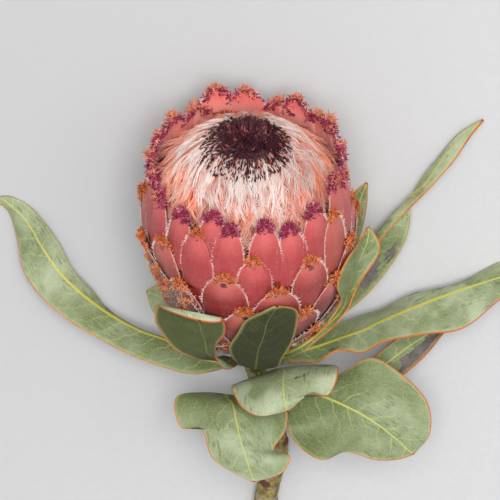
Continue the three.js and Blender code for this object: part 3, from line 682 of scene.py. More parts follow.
draw = random.Random(7)
bracts = [Bract(index, draw) for index in range(BRACT_COUNT)]
for k in range(WITHERED_COUNT):
    share = (k + 0.5) / WITHERED_COUNT
    scale = Bract(0, draw)
    azimuth = math.radians(WITHERED_AZIMUTH + WITHERED_SPREAD * math.sin(k * 2.4))
    scale.wither(azimuth, blend(*WITHERED_HEIGHTS, share), draw)
    bracts.append(scale)
blades = []
for number, bract in enumerate(bracts):
    name = "bract_%02d" % number
    blade = laid_sheet(name, BRACT_COLUMNS, BRACT_ROWS, lambda s, t: bract.point(*crowded(s, t)))
    values = {key: [] for key in ("along", "across", "margin_mm", "worn", "neck", "tone", "rim")}
    thick = blade.vertex_groups.new(name="thick")
    for vertex in blade.data.vertices:
        row, column = divmod(vertex.index, BRACT_COLUMNS + 1)
        side, rise = crowded(column / BRACT_COLUMNS, row / BRACT_ROWS)
        half = bract.half_width_at(rise)
        to_edge = min(half * (1 - abs(side)), bract.length * (1 - rise) + 0.2)
        height = bract.tip_height - bract.length * (1 - rise)
        values["along"].append(rise)
        values["across"].append(side)
        values["margin_mm"].append(to_edge)
        on_left = smooth_step(-math.sin(bract.azimuth), 0.5, 0.9)
        worn = 0.75 * bract.withered + 0.52 * smooth_step(WORN_BELOW - height, 0, 36)
        values["worn"].append(worn + 0.5 * on_left * smooth_step(WORN_LEFT_BELOW - height, 0, 30))
        values["neck"].append(0.85 * smooth_step(BROWN_BELOW - height, 0, 20))
        values["tone"].append(bract.tone)
        values["rim"].append(bract.rim)
        thick.add([vertex.index], min(1, 0.35 + 0.4 * to_edge), "REPLACE")
        vertex.co = above_floor(bloom @ (vertex.co * MM))
    for key, numbers in values.items():
        store(blade, key, numbers)
    blades.append(blade)
bpy.ops.object.select_all(action="DESELECT")
for blade in blades:
    blade.select_set(True)
bract_scales = blades[0]
bpy.context.view_layer.objects.active = bract_scales
bpy.ops.object.join()
bract_scales.name = "bract_scales"
outer_points = len(bract_scales.data.vertices)
wall = bract_scales.modifiers.new("wall", "SOLIDIFY")
wall.thickness = BRACT_THICKNESS * MM
wall.offset = -1
wall.vertex_group = "thick"
bpy.ops.object.modifier_apply(modifier="wall")
store(bract_scales, "inner", [float(v.index >= outer_points) for v in bract_scales.data.vertices])
bract_scales.data.materials.append(scale_finish)
bpy.ops.object.shade_smooth_by_angle(angle=BRACT_SMOOTH_ANGLE)
keep(bract_scales, "bract_pink", "bracts")


# Cup
# The solid heart of the bloom that the bracts grow from, flat at the top under the florets. It
# shows only as the deep red between the bracts.
CUP_STEPS = [0, 5, 11, 20, 32, 46, 60, 76, 92, CUP_FLOOR]
CUP_SIDES = 48
SHELL_SMOOTH_ANGLE = math.radians(40)


def laid_shell(name, columns, rows, place, finish, slot, *nodes):
    """A sheet in the bloom's own frame that meets itself all round, closed and kept."""
    shell = laid_sheet(name, columns, rows, lambda s, t: bloom @ (place(s, t) * MM))
    bpy.ops.object.mode_set(mode="EDIT")
    bpy.ops.mesh.select_all(action="SELECT")
    bpy.ops.mesh.remove_doubles(threshold=WELD_DISTANCE)
    bpy.ops.mesh.normals_make_consistent(inside=False)
    bpy.ops.object.mode_set(mode="OBJECT")
    shell.data.materials.append(finish)
    bpy.ops.object.shade_smooth_by_angle(angle=SHELL_SMOOTH_ANGLE)
    keep(shell, slot, *nodes)


cup_skin, tree, shader = new_finish("cup_skin", 0.6)
fibres = grain(tree, 0.003, detail=5)
feed(shader, "Base Color", painted((112, 24, 24), (fade(fibres, 0.35, 0.65), (150, 46, 38))))
roughen(shader, fibres, 0.0006)
outline = [(max(bloom_radius(height) - CORE_DEPTH, 5), height) for height in CUP_STEPS]
outline = [(0, 0)] + outline + [(0, CUP_FLOOR)]
laid_shell(
    "bloom_cup", CUP_SIDES, len(outline) - 1,
    lambda s, t: slim_point(math.tau * s, *outline[round(t * (len(outline) - 1))]), cup_skin, "bract_pink",
)


# Bract hairs
# A fringe of fine white hairs along each bract's margin, and a dense tuft at its tip: rust
# orange on the outer bracts, purple on the rim, with orange points towards the back.
FRINGE_HAIRS = 56
FRINGE_LENGTH = (0.8, 2.3)
FRINGE_RADIUS = 0.1
TUFT_HAIRS = 150
TUFT_LENGTH = (1.8, 3.8)
TUFT_RADIUS = 0.26
TUFT_CURL = 0.6
SPARSE_BELOW = 55
WOOL_BELOW = 60
WOOL_LEFT_BELOW = 100
RIM_TUFT_HAIRS = 340
RIM_TUFT_RADIUS = 0.34
TAN_LENGTH = (2.2, 4.8)
TAN_SHARE = 0.44
PURPLE_LENGTH = (1.8, 3.6)
WITHERED_TUFT_HAIRS = 55

fringe_hair, tree, shader = new_finish("fringe_hair", 0.7, 0.3)
fringe_tone = surface_value(tree, "tone")
feed(shader, "Base Color", painted(
    (248, 236, 230),
    (fringe_tone, (232, 196, 186)),
    (fade(grain(tree, 0.004), 0.45, 0.7, 0, 0.5), (214, 190, 172)),
    (fade(fringe_tone, 1, 2), (150, 124, 104)),
))

rust_hair, tree, shader = new_finish("rust_hair", 0.7, 0.3)
rust_tone = surface_value(tree, "tone")
feed(shader, "Base Color", painted(
    (140, 44, 20),
    (surface_value(tree, "along"), (234, 122, 52)),
    (fade(rust_tone, 0.5, 1, 0, 0.85), (206, 142, 90)),
    (fade(rust_tone, 0.3, 0, 0, 0.85), (94, 38, 26)),
    (fade(grain(tree, 0.003), 0.52, 0.68, 0, 0.55), (108, 48, 32)),
    (fade(rust_tone, 1, 1.2, 0, 0.9), (214, 140, 108)),
    (fade(rust_tone, 1.45, 2, 0, 0.85), (164, 78, 74)),
))

purple_hair, tree, shader = new_finish("purple_hair", 0.65, 0.35)
feed(shader, "Base Color", painted(
    (94, 12, 38),
    (surface_value(tree, "along"), (164, 50, 82)),
    # A painted highlight: the hairs of highest tone are pale pink-violet.
    (fade(surface_value(tree, "tone"), 0.6, 1, 0, 0.85), (206, 108, 138)),
    (fade(grain(tree, 0.002), 0.5, 0.7, 0, 0.6), (76, 12, 34)),
))

draw = random.Random(19)
fringes = []
rust_tufts = []
purple_tufts = []


def curled_hair(root, heading, length, radius, curl, draw):
    """A short hair from a root, in the bloom's own frame, that curls as it goes."""
    path = [root]
    for _ in range(3):
        turn = Vector((draw.gauss(0, curl), draw.gauss(0, curl), draw.gauss(0, curl)))
        heading = (heading + turn).normalized()
        path.append(path[-1] + heading * length / 3)
    return path, [radius, radius, radius * 0.8], draw.random()


for bract in bracts:
    sideways = bloom_point(bract.azimuth + math.pi / 2, 1, 0)
    outward = bloom_point(bract.azimuth, 1, 0)
    up = Vector((0, 0, 1))
    wool = bract.withered + smooth_step(WOOL_BELOW - bract.tip_height, 0, 25)
    on_left = smooth_step(-math.sin(bract.azimuth), 0.6, 0.95)
    wool += on_left * smooth_step(WOOL_LEFT_BELOW - bract.tip_height, 0, 30)
    fringe_hairs = FRINGE_HAIRS // 2 if bract.withered else FRINGE_HAIRS
    for side in (-1, 1):
        for k in range(fringe_hairs):
            rise = blend(0.3, 0.98, (k + draw.random()) / fringe_hairs)
            root = bract.point(side * 0.98, rise, -0.15)
            heading = sideways * side * draw.uniform(0.3, 1) + up * draw.uniform(0.3, 1.1)
            heading += outward * draw.uniform(0.1, 0.9)
            length = draw.uniform(*FRINGE_LENGTH) * (1 + 0.5 * wool)
            curl = 0.2 + 0.3 * wool
            path, radii, tone = curled_hair(root, heading.normalized(), length, FRINGE_RADIUS, curl, draw)
            fringes.append((path, radii, tone + wool * draw.uniform(0.3, 1.2)))
    if bract.on_rim:
        hair_count = round(RIM_TUFT_HAIRS * blend(0.8, 1.2, bract.tone))
    else:
        hair_count = WITHERED_TUFT_HAIRS if bract.withered else TUFT_HAIRS
        if bract.tip_height < SPARSE_BELOW:
            hair_count //= 3
    for _ in range(hair_count):
        tan = bract.on_rim and draw.random() < TAN_SHARE * bract.rear ** 1.5
        if tan:
            side = draw.uniform(-1, 1)
            place = bract.point(side, 1.04 - 0.13 * draw.random(), draw.uniform(-0.8, 1.6))
            length = draw.uniform(*TAN_LENGTH) * blend(0.75, 1.25, bract.tone)
        elif bract.on_rim:
            side = draw.choice((-1, 1)) * draw.uniform(0.3, 1.05)
            down = blend(0.14, 0.24, bract.rear) * draw.random() ** 1.5
            place = bract.point(side, 1 - down, draw.uniform(-1.7, 0.8))
            length = draw.uniform(*PURPLE_LENGTH)
        else:
            side = draw.choice((-1, 1)) * draw.uniform(0.2, 1.02)
            place = bract.point(side, 1 - 0.13 * draw.random() ** 1.5, draw.uniform(-0.8, 0.5))
            length = draw.uniform(*TUFT_LENGTH) * (1 - 0.4 * bract.withered)
        most, radius = (1, RIM_TUFT_RADIUS) if bract.on_rim else (0.4, TUFT_RADIUS)
        heading = outward * draw.uniform(-0.7, most) + up * draw.uniform(-0.1, 1.3)
        heading += sideways * (side * 0.7 + draw.gauss(0, 0.6))
        path, radii, tone = curled_hair(place, heading.normalized(), length, radius, TUFT_CURL, draw)
        if bract.on_rim and not tan:
            purple_tufts.append((path, radii, tone))
        else:
            tone = blend(tone, 1, 0.6 * bract.withered)
            rust_tufts.append((path, radii, tone + tan))
for name, strands, finish in (
    ("bract_fringes", fringes, fringe_hair),
    ("bract_tufts_rust", rust_tufts, rust_hair),
    ("bract_tufts_purple", purple_tufts, purple_hair),
):
    keep(hairs(name, strands, finish, bloom), "bract_pink")


# Florets
# Hundreds of slender flowers stand close together in a dome. Their silky white ends lie outwards
# over it, parted into locks, and hook away from it near the bracts.
DOME_TOP = 138
DOME_EDGE = 43
SEAT_GAP = 0.3
DOME_FOOT = CUP_FLOOR + SEAT_GAP
DOME_RADIUS = (DOME_EDGE ** 2 + (DOME_TOP - DOME_FOOT) ** 2) / (2 * (DOME_TOP - DOME_FOOT))
DOME_FOOT_ANGLE = math.acos((DOME_FOOT - DOME_TOP + DOME_RADIUS) / DOME_RADIUS)
DOME_ROWS = 30
DOME_SIDES = 96
LOCK_COUNT = 710
LOCK_HAIRS = 8
LOCK_START = (0.18, 1.02)
LOCK_REACH = (0.34, 0.56)
LOCK_SWAY = 0.11
LOCK_HOOK = (0.4, 6.5)
LOCK_LIFT = (0.5, 3.4)
WAVE_HEIGHT = (0.35, 1.3)
WAVE_COUNT = (6, 13)
SILK_STEPS = (0, 0.15, 0.32, 0.5, 0.68, 0.85, 1)
SILK_RADII = (0.18, 0.21, 0.21, 0.2, 0.18, 0.13)
SILK_DROOP = 0.17


def dome_point(azimuth, from_top, above):
    """A point over the dome, by azimuth from the front and angle from the top."""
    reach = DOME_RADIUS + above
    height = DOME_TOP - DOME_RADIUS + reach * math.cos(from_top)
    return bloom_point(azimuth, reach * math.sin(from_top), height)


def dome_place(across, along):
    """The dome's skin, from its top over its edge to the middle of its foot."""
    azimuth = math.tau * across
    row = round(along * DOME_ROWS)
    if row == DOME_ROWS:
        return bloom_point(0, 0, DOME_FOOT)
    return dome_point(azimuth, DOME_FOOT_ANGLE * row / (DOME_ROWS - 1), 0)


bed_skin, tree, shader = new_finish("floret_bed", 0.8)
clumps = grain(tree, 0.0022, detail=5, distortion=1.5)
feed(shader, "Base Color", painted((158, 66, 44), (fade(clumps, 0.38, 0.62), (222, 126, 94))))
roughen(shader, clumps, 0.002)
laid_shell("floret_bed", DOME_SIDES, DOME_ROWS, dome_place, bed_skin, "floret_silk", "floret_dome")

silk, tree, shader = new_finish("floret_silk", 0.55, 0.4)
length_share = surface_value(tree, "along")
silk_tone = surface_value(tree, "tone")
silk_body = painted(
    (211, 193, 186),
    (fade(silk_tone, 0, 0.5), (206, 152, 140)),
    # The warmest colour is partly painted shade for the lowest locks.
    (fade(silk_tone, 0.5, 1), (234, 140, 104)),
)
silk_end = painted((228, 214, 207), (fade(silk_tone, 0.3, 1), (236, 172, 150)))
feed(shader, "Base Color", painted(
    silk_body,
    (fade(length_share, 0.35, 0.95), silk_end),
    (fade(length_share, 0.3, 0, 0, 0.6) * fade(silk_tone, 0.1, 0.5), (236, 150, 122)),
    (fade(grain(tree, 0.004), 0.5, 0.75, 0, 0.25), (236, 170, 148)),
))
feed(shader, "Subsurface Weight", 0.15)
feed(shader, "Subsurface Radius", (0.002, 0.0012, 0.001))

draw = random.Random(29)
silks = []
for lock in range(LOCK_COUNT):
    share = (lock + 0.5) / LOCK_COUNT
    lock_azimuth = lock * GOLDEN_TURN + draw.gauss(0, 0.05)
    rear = (1 - math.cos(lock_azimuth)) / 2
    start = blend(*LOCK_START, share ** 0.72)
    reach = draw.uniform(*LOCK_REACH) * blend(1, 0.6, share)
    sway = draw.gauss(0, LOCK_SWAY) * (0.4 + share) - SILK_DROOP * math.sin(lock_azimuth)
    hook = draw.uniform(*LOCK_HOOK) * smooth_step(share, 0.25, 0.8)
    lift = draw.uniform(*LOCK_LIFT)
    wave = draw.uniform(0, math.tau)
    wave_height = draw.uniform(*WAVE_HEIGHT)
    wave_count = draw.uniform(*WAVE_COUNT)
    warm_side = max(rear, 0.5 * abs(math.sin(lock_azimuth)))
    warmth_and_painted_shade = smooth_step(start, 0.4, 0.9) * 0.85 + 0.65 * warm_side * smooth_step(start, 0.12, 0.6)
    # Besides the silk's own peach at the edges, sides and back, low-lying locks are warmer: painted shade.
    depth = (LOCK_LIFT[1] - lift) / (LOCK_LIFT[1] - LOCK_LIFT[0])
    warmth_and_painted_shade = 0.08 + warmth_and_painted_shade * draw.uniform(0.5, 1.2) + 0.4 * depth ** 2 + draw.uniform(-0.1, 0.14)
    for _ in range(LOCK_HAIRS):
        offset = draw.gauss(0, 0.011)
        hair_reach = reach * draw.uniform(0.75, 1.1)
        hair_lift = lift + draw.uniform(-0.5, 0.5)
        phase = wave + draw.gauss(0, 0.4)
        path = []
        for step in SILK_STEPS:
            from_top = min(start + hair_reach * step, 1.25)
            curl = wave_height * math.sin(phase + step * wave_count) * min(1, step * 3)
            above = -0.4 + hair_lift * math.sin(min(1, step * 1.3) * math.pi / 2) + hook * step ** 3
            across = offset * (1 + 0.4 * step) + sway * step ** 2 + curl / DOME_RADIUS
            azimuth = lock_azimuth + across / max(0.3, math.sin(from_top))
            path.append(dome_point(azimuth, from_top, above + curl * 0.5))
        silks.append((path, SILK_RADII, min(1, max(0, warmth_and_painted_shade + draw.uniform(-0.15, 0.15)))))
keep(hairs("floret_silks", silks, silk, bloom), "floret_silk")


# Dark centre
# The youngest florets at the top of the dome are still shut. Their tips are a dense fuzz of near
# black purple, loosening into single dark commas over the white silk round it.
DARK_CENTRE_RADIUS = 20.5
DARK_CENTRE_RISE = 3
DARK_EDGE_RISE = 0.9
DARK_ROWS = 12
DARK_SIDES = 60
DARK_CORE_SHARE = 0.56
DARK_STEPS = (0, 0.35, 0.7, 1)
DARK_HAIRS = 1200
DARK_HAIR_LENGTH = (1.4, 3)
DARK_RADII = (0.34, 0.42, 0.34)
COMMA_HAIRS = 1500
COMMA_LENGTH = (0.03, 0.052)
COMMA_RADII = (0.13, 0.3, 0.34)
COMMA_SWAY = 0.03
COMMA_LIFT = (1.8, 3.4)
KNOB_HEIGHT = 3.6
KNOB_WIDTH = 0.34
KNOB_PLACE = Vector((0.05, 0.6, 0))

dark_edge_angle = math.asin(DARK_CENTRE_RADIUS / DOME_RADIUS)


def dark_rise(share):
    """How far the dark cushion stands over the dome, from 0 at its middle to 1 at its edge."""
    return SEAT_GAP + DARK_EDGE_RISE + (DARK_CENTRE_RISE - DARK_EDGE_RISE) * (1 - share ** 2)


def dark_place(across, along):
    """The cushion's skin, from the middle of its top over its edge to the middle below."""
    azimuth = math.tau * across
    row = round(along * DARK_ROWS)
    half = DARK_ROWS // 2
    if row <= half:
        share = row / half
        from_top = dark_edge_angle * DARK_CORE_SHARE * share
        return dome_point(azimuth, from_top, dark_rise(share) - 0.5)
    from_top = dark_edge_angle * DARK_CORE_SHARE * (DARK_ROWS - row) / half
    return dome_point(azimuth, from_top, SEAT_GAP)


dark_skin, tree, shader = new_finish("dark_skin", 0.85, 0.2)
tufting = grain(tree, 0.0015, detail=4)
feed(shader, "Base Color", painted((34, 14, 24), (fade(tufting, 0.4, 0.7), (84, 40, 52))))
roughen(shader, tufting, 0.0015)
laid_shell("dark_cushion", DARK_SIDES, DARK_ROWS, dark_place, dark_skin, "dark_tips", "dark_centre")

dark_hair, tree, shader = new_finish("dark_hair", 0.6, 0.35)
dark_tone = surface_value(tree, "tone")
feed(shader, "Base Color", painted(
    (18, 5, 10),
    # Painted shade: each hair is near black at its root, deep in the fuzz, and lighter towards its point.
    (surface_value(tree, "along"), (88, 33, 44)),
    # A painted highlight: the hairs of highest tone are pale pink.
    (fade(dark_tone, 0.78, 1, 0, 0.8), (168, 98, 90)),
    (fade(dark_tone, 0.3, 0, 0, 0.7), (26, 8, 16)),
    (fade(grain(tree, 0.003), 0.55, 0.75, 0, 0.5), (84, 38, 46)),
))

# Vector noise takes its offsets from the clock unless it is seeded.
draw = random.Random(31)
noise.seed_set(5)
dark_strands = []
for index in range(DARK_HAIRS):
    share = math.sqrt((index + 0.5) / DARK_HAIRS)
    azimuth = index * GOLDEN_TURN + draw.gauss(0, 0.1)
    ragged = 1 + 0.55 * noise.noise(Vector((math.sin(azimuth) * 2, math.cos(azimuth) * 2, 3)))
    from_top = dark_edge_angle * DARK_CORE_SHARE * share * ragged
    above = dark_rise(share) - 1
    spot = Vector((share * math.sin(azimuth), -share * math.cos(azimuth), 0))
    knob = math.exp(-((spot - KNOB_PLACE).length / KNOB_WIDTH) ** 2)
    length = (draw.uniform(*DARK_HAIR_LENGTH) + KNOB_HEIGHT * knob) * (1 + 1.1 * noise.noise(spot * 5))
    bend = noise.noise_vector(spot * 6)
    path = []
    for step in DARK_STEPS:
        turn = azimuth + 0.16 * bend.x * math.sin(step * 2.6) / max(share, 0.25)
        tip_shift = 0.09 * bend.y * math.sin(step * 2.6) + 0.02 * step
        path.append(dome_point(turn, from_top + tip_shift, above + length * step))
    shade = min(1, max(0, 0.5 + bend.z + draw.gauss(0, 0.12)))
    dark_strands.append((path, DARK_RADII, shade))
for index in range(COMMA_HAIRS):
    azimuth = draw.uniform(-math.pi, math.pi)
    outer = 0.99 + 0.19 * math.cos(azimuth) - 0.06 * math.sin(azimuth)
    from_top = dark_edge_angle * blend(0.46, outer, draw.random() ** 1.35)
    length = draw.uniform(*COMMA_LENGTH)
    sway = draw.gauss(0, COMMA_SWAY)
    above = draw.uniform(*COMMA_LIFT)
    path = []
    for step in DARK_STEPS:
        turn = azimuth + sway * step ** 2
        path.append(dome_point(turn, from_top + length * step, above - 0.5 * step ** 2))
    dark_strands.append((path, COMMA_RADII, draw.random() * 0.75))
keep(hairs("dark_hairs", dark_strands, dark_hair, bloom), "dark_tips")


# Leaves
# Twelve stiff, waxy, grey-green leaves sit round the stem. Each has a yellow midrib, a net of fine
# veins and a thin horny margin that is rust orange or olive. The wax is rubbed off in places.
LEAF_THICKNESS = 0.9
LEAF_MARGIN_SHARE = 0.3
LEAF_MARGIN_ROUNDING = 0.22
LEAF_MARGIN_ANGLE = math.radians(55)
LEAF_SMOOTH_ANGLE = math.radians(50)
LEAF_TO_BLOOM = 2.2
MIDRIB_WIDTH = 1.1
MIDRIB_SHARE = (0.42, 0.12)
STALK_THICKENING = 1.5
STALK_REACH = (3.6, 8.5)
STALK_HALF_WIDTH = 2
STALK_LIFT = 0.4
LEAF_ROWS = 72
LEAF_VALUES = ("across_mm", "along_mm", "margin_mm", "tip_mm", "rust", "tone", "mark", "rise", "shift")
LEAF_SPREAD = [0, 0.05, 0.11, 0.2, 0.32, 0.45, 0.58, 0.7, 0.81, 0.9, 0.955, 0.985, 1]

bloom_from_sprig = Matrix.Rotation(math.pi / 2 - BLOOM_LEAN, 4, "X")
sprig_from_bloom = bloom_from_sprig.inverted()
world_from_sprig = Matrix.Translation(NECK / MM) @ Matrix.Rotation(-LYING_TILT, 4, "X")


def settle(place):
    """A leaf lies on the bracts where it meets them, and on the floor where it meets that."""
    local = bloom_from_sprig @ place
    reach = math.hypot(local.x, local.y)
    if 0 < local.z < BLOOM_PROFILE[-1][0]:
        least = bloom_radius(local.z) + LEAF_TO_BLOOM
        if reach < least:
            push = least / max(reach, 1)
            place = sprig_from_bloom @ Vector((local.x * push, local.y * push, local.z))
    laid = world_from_sprig @ place
    if laid.z < LEAF_THICKNESS / 2:
        laid.z = LEAF_THICKNESS / 2
        place = world_from_sprig.inverted() @ laid
    return place


def stalk_ribs(along_stem, around_stem, first_side):
    """The two ribs of a leaf's stalk: one inside the stem and one just clear of it."""
    centre, heading, right, front = stem_frame(along_stem / stem_length)
    turn = math.radians(around_stem)
    outward = right * math.sin(turn) + front * math.cos(turn)
    sideways = outward.cross(heading)
    ribs = []
    for reach in STALK_REACH:
        middle = centre + outward * reach - heading * STALK_LIFT * max(0, reach - STEM_RADIUS)
        sides = [middle + sideways * STALK_HALF_WIDTH * sign for sign in (first_side, -first_side)]
        ribs.append([sides[0], middle, sides[1]])
    return ribs


def leaf_finish(name, pale, light, deep, rubbed_and_painted_shade, vein_share, rib_share, shine):
    """One face of a leaf. The pattern follows numbers stored on its points: millimetres along and
    across from the midrib, to the margin and to the tip, and the shares of rust, tone and mark. Tone
    is painted light and shade."""
    material, tree, shader = new_finish(name, 0.55, shine)
    across, along, margin, tip, rust, tone, mark, rise, shift = [
        surface_value(tree, key) for key in LEAF_VALUES
    ]
    flat = in_space(across, along, shift)
    cloudy = grain(tree, 5, flat, detail=5)
    fine = grain(tree, 0.9, flat, detail=4)
    away = abs(across)
    wander = (grain(tree, 7, flat, detail=2) - 0.5) * 7
    bow = away * 0.75 + away * away * 0.018
    phase = along - bow + wander + calc("GREATER_THAN", across, 0) * 4.2
    vein = fade(calc("PINGPONG", phase, 4.6) / fade(away, 0, 14, 0.55, 0.22), 1.5, 0.2)
    net = fade(cells(flat, 0.42, "DISTANCE_TO_EDGE"), 0.09, 0.015)
    wax = grain(tree, 24, flat, detail=3, distortion=0.6)
    rub_place = add_node(tree, "ShaderNodeMapping", 0, [
        ("Vector", flat), ("Rotation", (0, 0, math.radians(50))), ("Scale", (0.9, 0.16, 1)),
    ])
    rub_lines = grain(tree, 1, rub_place, detail=4)
    rub = fade(rub_lines, 0.5, 0.6) * fade(grain(tree, 11, flat, detail=2), 0.52, 0.6)
    speck = fade(cells(flat, 0.55), 0.2, 0.1) * fade(cloudy, 0.52, 0.6)
    torn = cloudy - 0.5 + (rub_lines - 0.5)
    bruised = fade((mark + torn * 1.5) * fade(mark, 0.02, 0.2), 0.42, 0.5)
    bruise_colour = painted((70, 58, 54), (fade(cloudy, 0.35, 0.65), (106, 96, 94)))
    rib = fade(away / fade(tip, 0, 110, 0.3, 0.95), 1.2, 0.6)
    rib_colour = painted((196, 184, 66), (fade(tip, 90, 10), (180, 184, 96)))
    rim_colour = painted(
        (146, 134, 60),
        (fade(rust, 0, 0.5), (198, 126, 50)),
        (fade(rust, 0.5, 1.1), (188, 84, 46)),
        (fade(cloudy, 0.45, 0.65, 0, 0.5), (150, 84, 44)),
    )
    rim_width = rust * 0.45 + 0.4
    rim_place = margin + (cloudy - 0.5) * 0.5
    feed(shader, "Base Color", painted(
        light,
        (fade(grain(tree, 14, flat), 0.32, 0.7, 0, 0.8), deep),
        # Tone is painted light and shade: below zero the leaf is paler, above zero it is darker.
        (fade(tone, 0, -1, 0, 0.8), pale),
        (fade(tone, 0, 2), deep),
        (fade(wax, 0.45, 0.8, 0, 0.35), pale),
        (fade(wax, 0.48, 0.3, 0, 0.4), rubbed_and_painted_shade),
        # Painted shade: each leaf darkens towards its base.
        (fade(rise, 0.4, 0.08, 0, 0.75), rubbed_and_painted_shade),
        (fade(fine, 0.35, 0.75, 0, vein_share * 0.38), (200, 212, 186)),
        (rub * 0.55, rubbed_and_painted_shade),
        (speck * 0.6, (72, 88, 44)),
        (net * (vein_share * 0.22), (176, 190, 120)),
        (vein * vein_share, (184, 190, 108)),
        (bruised * 0.92, bruise_colour),
        (rib * rib_share, rib_colour),
        (fade(margin, 2.4, 0.7, 0, 0.25), (190, 196, 130)),
        (fade(rim_place / rim_width, 1.15, 0.75), rim_colour),
        (fade(tip, 0.9, 0.4), (92, 50, 32)),
    ))
    feed(shader, "Subsurface Weight", 0.05)
    feed(shader, "Subsurface Radius", (0.001, 0.002, 0.0006))
    roughen(shader, net * 0.3 + vein * -0.35 + fine * 0.5, 0.00025)
    return material


leaf_faces = {
    "upper": leaf_finish(
        "leaf_upper", (186, 194, 166), (151, 161, 128), (97, 109, 61), (80, 95, 38), 0.34, 0.85, 0.35,
    ),
    # The second finish is the leaf in painted shade, far darker, for the sides turned from the light.
    "shaded_side": leaf_finish(
        "leaf_painted_shade", (86, 94, 54), (63, 69, 35), (40, 43, 17), (54, 58, 28), 0.05, 0.16, 0.2,
    ),
}
spread = [-share for share in LEAF_SPREAD[:0:-1]] + LEAF_SPREAD


def leaf_blade(name, stem, faces, rust, tone, ribs, marks=()):
    """A leaf lofted through its ribs, given its thickness, ridge and rounded margin. The stem's
    numbers are how far down it and how far round it, in degrees, the stalk sits, and on which side
    the ribs start. Faces are the finishes of its two sides. Rust is that of one margin at its base
    and tip, then of the other, and tone, painted light and shade that makes the leaf paler or darker,
    runs from base to tip. A rib is one end, the middle and the other end, in millimetres. A mark is
    where it is along and across, its size and its strength."""
    ribs = stalk_ribs(*stem) + [(rib[:3], rib[3:6], rib[6:]) for rib in ribs]
    rails = [rail([rib[side] for rib in ribs]) for side in range(3)]
    length, parameter = measured(rails[1])
    rows = []
    for i in range(LEAF_ROWS + 1):
        left, middle, right = [curve(parameter(i / LEAF_ROWS)) for curve in rails]
        rows.append([
            settle(middle * (1 - v * v) + left * (v * v - v) / 2 + right * (v * v + v) / 2)
            for v in spread
        ])
    centre = len(spread) // 2
    middle_row = rows[LEAF_ROWS // 2]
    facing = (middle_row[-1] - middle_row[0]).cross(rows[LEAF_ROWS // 2 + 4][centre] - middle_row[centre])
    turned = facing.z < 0
    if turned:
        rows = [row[::-1] for row in rows]
    last = len(spread) - 1
    blade = laid_sheet(
        "blade_" + name, last, LEAF_ROWS,
        lambda s, t: sprig @ (rows[round(t * LEAF_ROWS)][round(s * last)] * MM),
    )
    values = {key: [] for key in LEAF_VALUES}
    thick = blade.vertex_groups.new(name="thick")
    full = LEAF_THICKNESS + STALK_THICKENING
    first_base, first_tip, second_base, second_tip = rust
    for vertex in blade.data.vertices:
        i, j = divmod(vertex.index, last + 1)
        row = rows[i]
        steps = [(b - a).length for a, b in zip(row, row[1:])]
        side_length = sum(steps[:centre]) if j < centre else sum(steps[centre:])
        from_rib = sum(steps[j:centre]) if j < centre else sum(steps[centre:j])
        sign = (-1 if j < centre else 1) * (-1 if turned else 1)
        share = i / LEAF_ROWS
        values["across_mm"].append(sign * from_rib)
        values["along_mm"].append(share * length)
        to_tip = (1 - share) * length
        to_side = side_length - from_rib + 4 * smooth_step(0.09 - share, 0, 0.05)
        values["margin_mm"].append(min(to_side, to_tip))
        values["tip_mm"].append(math.hypot(to_tip, from_rib))
        v = spread[j] * (-1 if turned else 1)
        first_rust = blend(first_base, first_tip, share)
        values["rust"].append(blend(first_rust, blend(second_base, second_tip, share), (v + 1) / 2))
        values["tone"].append(blend(*tone, smooth_step(share, 0.35, 0.75)))
        values["rise"].append(share)
        values["shift"].append(stem[0] * 7 + len(name))
        mark = max((
            strength * smooth_step(1 - math.hypot((share - at) / size, (v - side) / (size * 5)), 0, 1)
            for at, side, size, strength in marks
        ), default=0)
        values["mark"].append(mark)
        ridge = math.exp(-(from_rib / MIDRIB_WIDTH) ** 2) * blend(*MIDRIB_SHARE, share ** 0.6)
        stalk = STALK_THICKENING / full * math.exp(-10 * share)
        thick.add([vertex.index], min(1, LEAF_MARGIN_SHARE + ridge + stalk), "REPLACE")
    for key, numbers in values.items():
        store(blade, key, numbers)
    for side in faces:
        blade.data.materials.append(leaf_faces[side])
    wall = blade.modifiers.new("wall", "SOLIDIFY")
    wall.thickness = full * MM
    wall.offset = 0
    wall.vertex_group = "thick"
    wall.material_offset = 1
    bpy.ops.object.modifier_apply(modifier="wall")
    rim = blade.modifiers.new("rim", "BEVEL")
    rim.width = LEAF_MARGIN_ROUNDING * MM
    rim.segments = 2
    rim.limit_method = "ANGLE"
    rim.angle_limit = LEAF_MARGIN_ANGLE
    bpy.ops.object.modifier_apply(modifier="rim")
    bpy.ops.object.shade_smooth_by_angle(angle=LEAF_SMOOTH_ANGLE)
    keep(blade, "leaf_green", "leaf_" + name)


leaf_blade(
    "long_left", stem=(15, -100, -1), faces=("upper", "shaded_side"), rust=(0, 0.1, 0.05, 0.95), tone=(1.1, 0.6),
    ribs=[
        (-13.3, -8.7, -8, -14.4, -10.7, -8, -15.9, -14.9, -6),
        (-24.8, -5.5, -14, -27.9, -8.1, -9, -28.4, -17, -5),
        (-41.4, -2.9, -18, -41.4, -0.3, -10, -45.6, -12.8, -5),
        (-57.5, 2.8, -19, -57, 5.4, -11, -62.2, -6.6, -6),
        (-72.6, 14.2, -20, -73.1, 14.2, -12, -77.8, 1.7, -7),
        (-80.4, 25.1, -16, -86.1, 24.1, -10, -93.4, 11.1, -6),
        (-90.8, 36.6, -10, -97.6, 35.5, -8, -106.9, 22.5, -8),
        (-98.1, 51.1, -6, -106.9, 49.1, -5, -116.3, 36.1, -8),
        (-105.7, 62, -1, -114, 62, 2, -119.7, 55.3, -3),
        (-115.2, 71.8, 1, -120.9, 69.2, 3, -123.5, 67.7, 1),
        (-125.5, 76.4, 1, -128.1, 74.3, 1.5, -129.7, 72.1, 0),
        (-135.2, 72.8, -1.2, -135.4, 72.1, -1.4, -135.3, 71.4, -1.6),
    ],
)
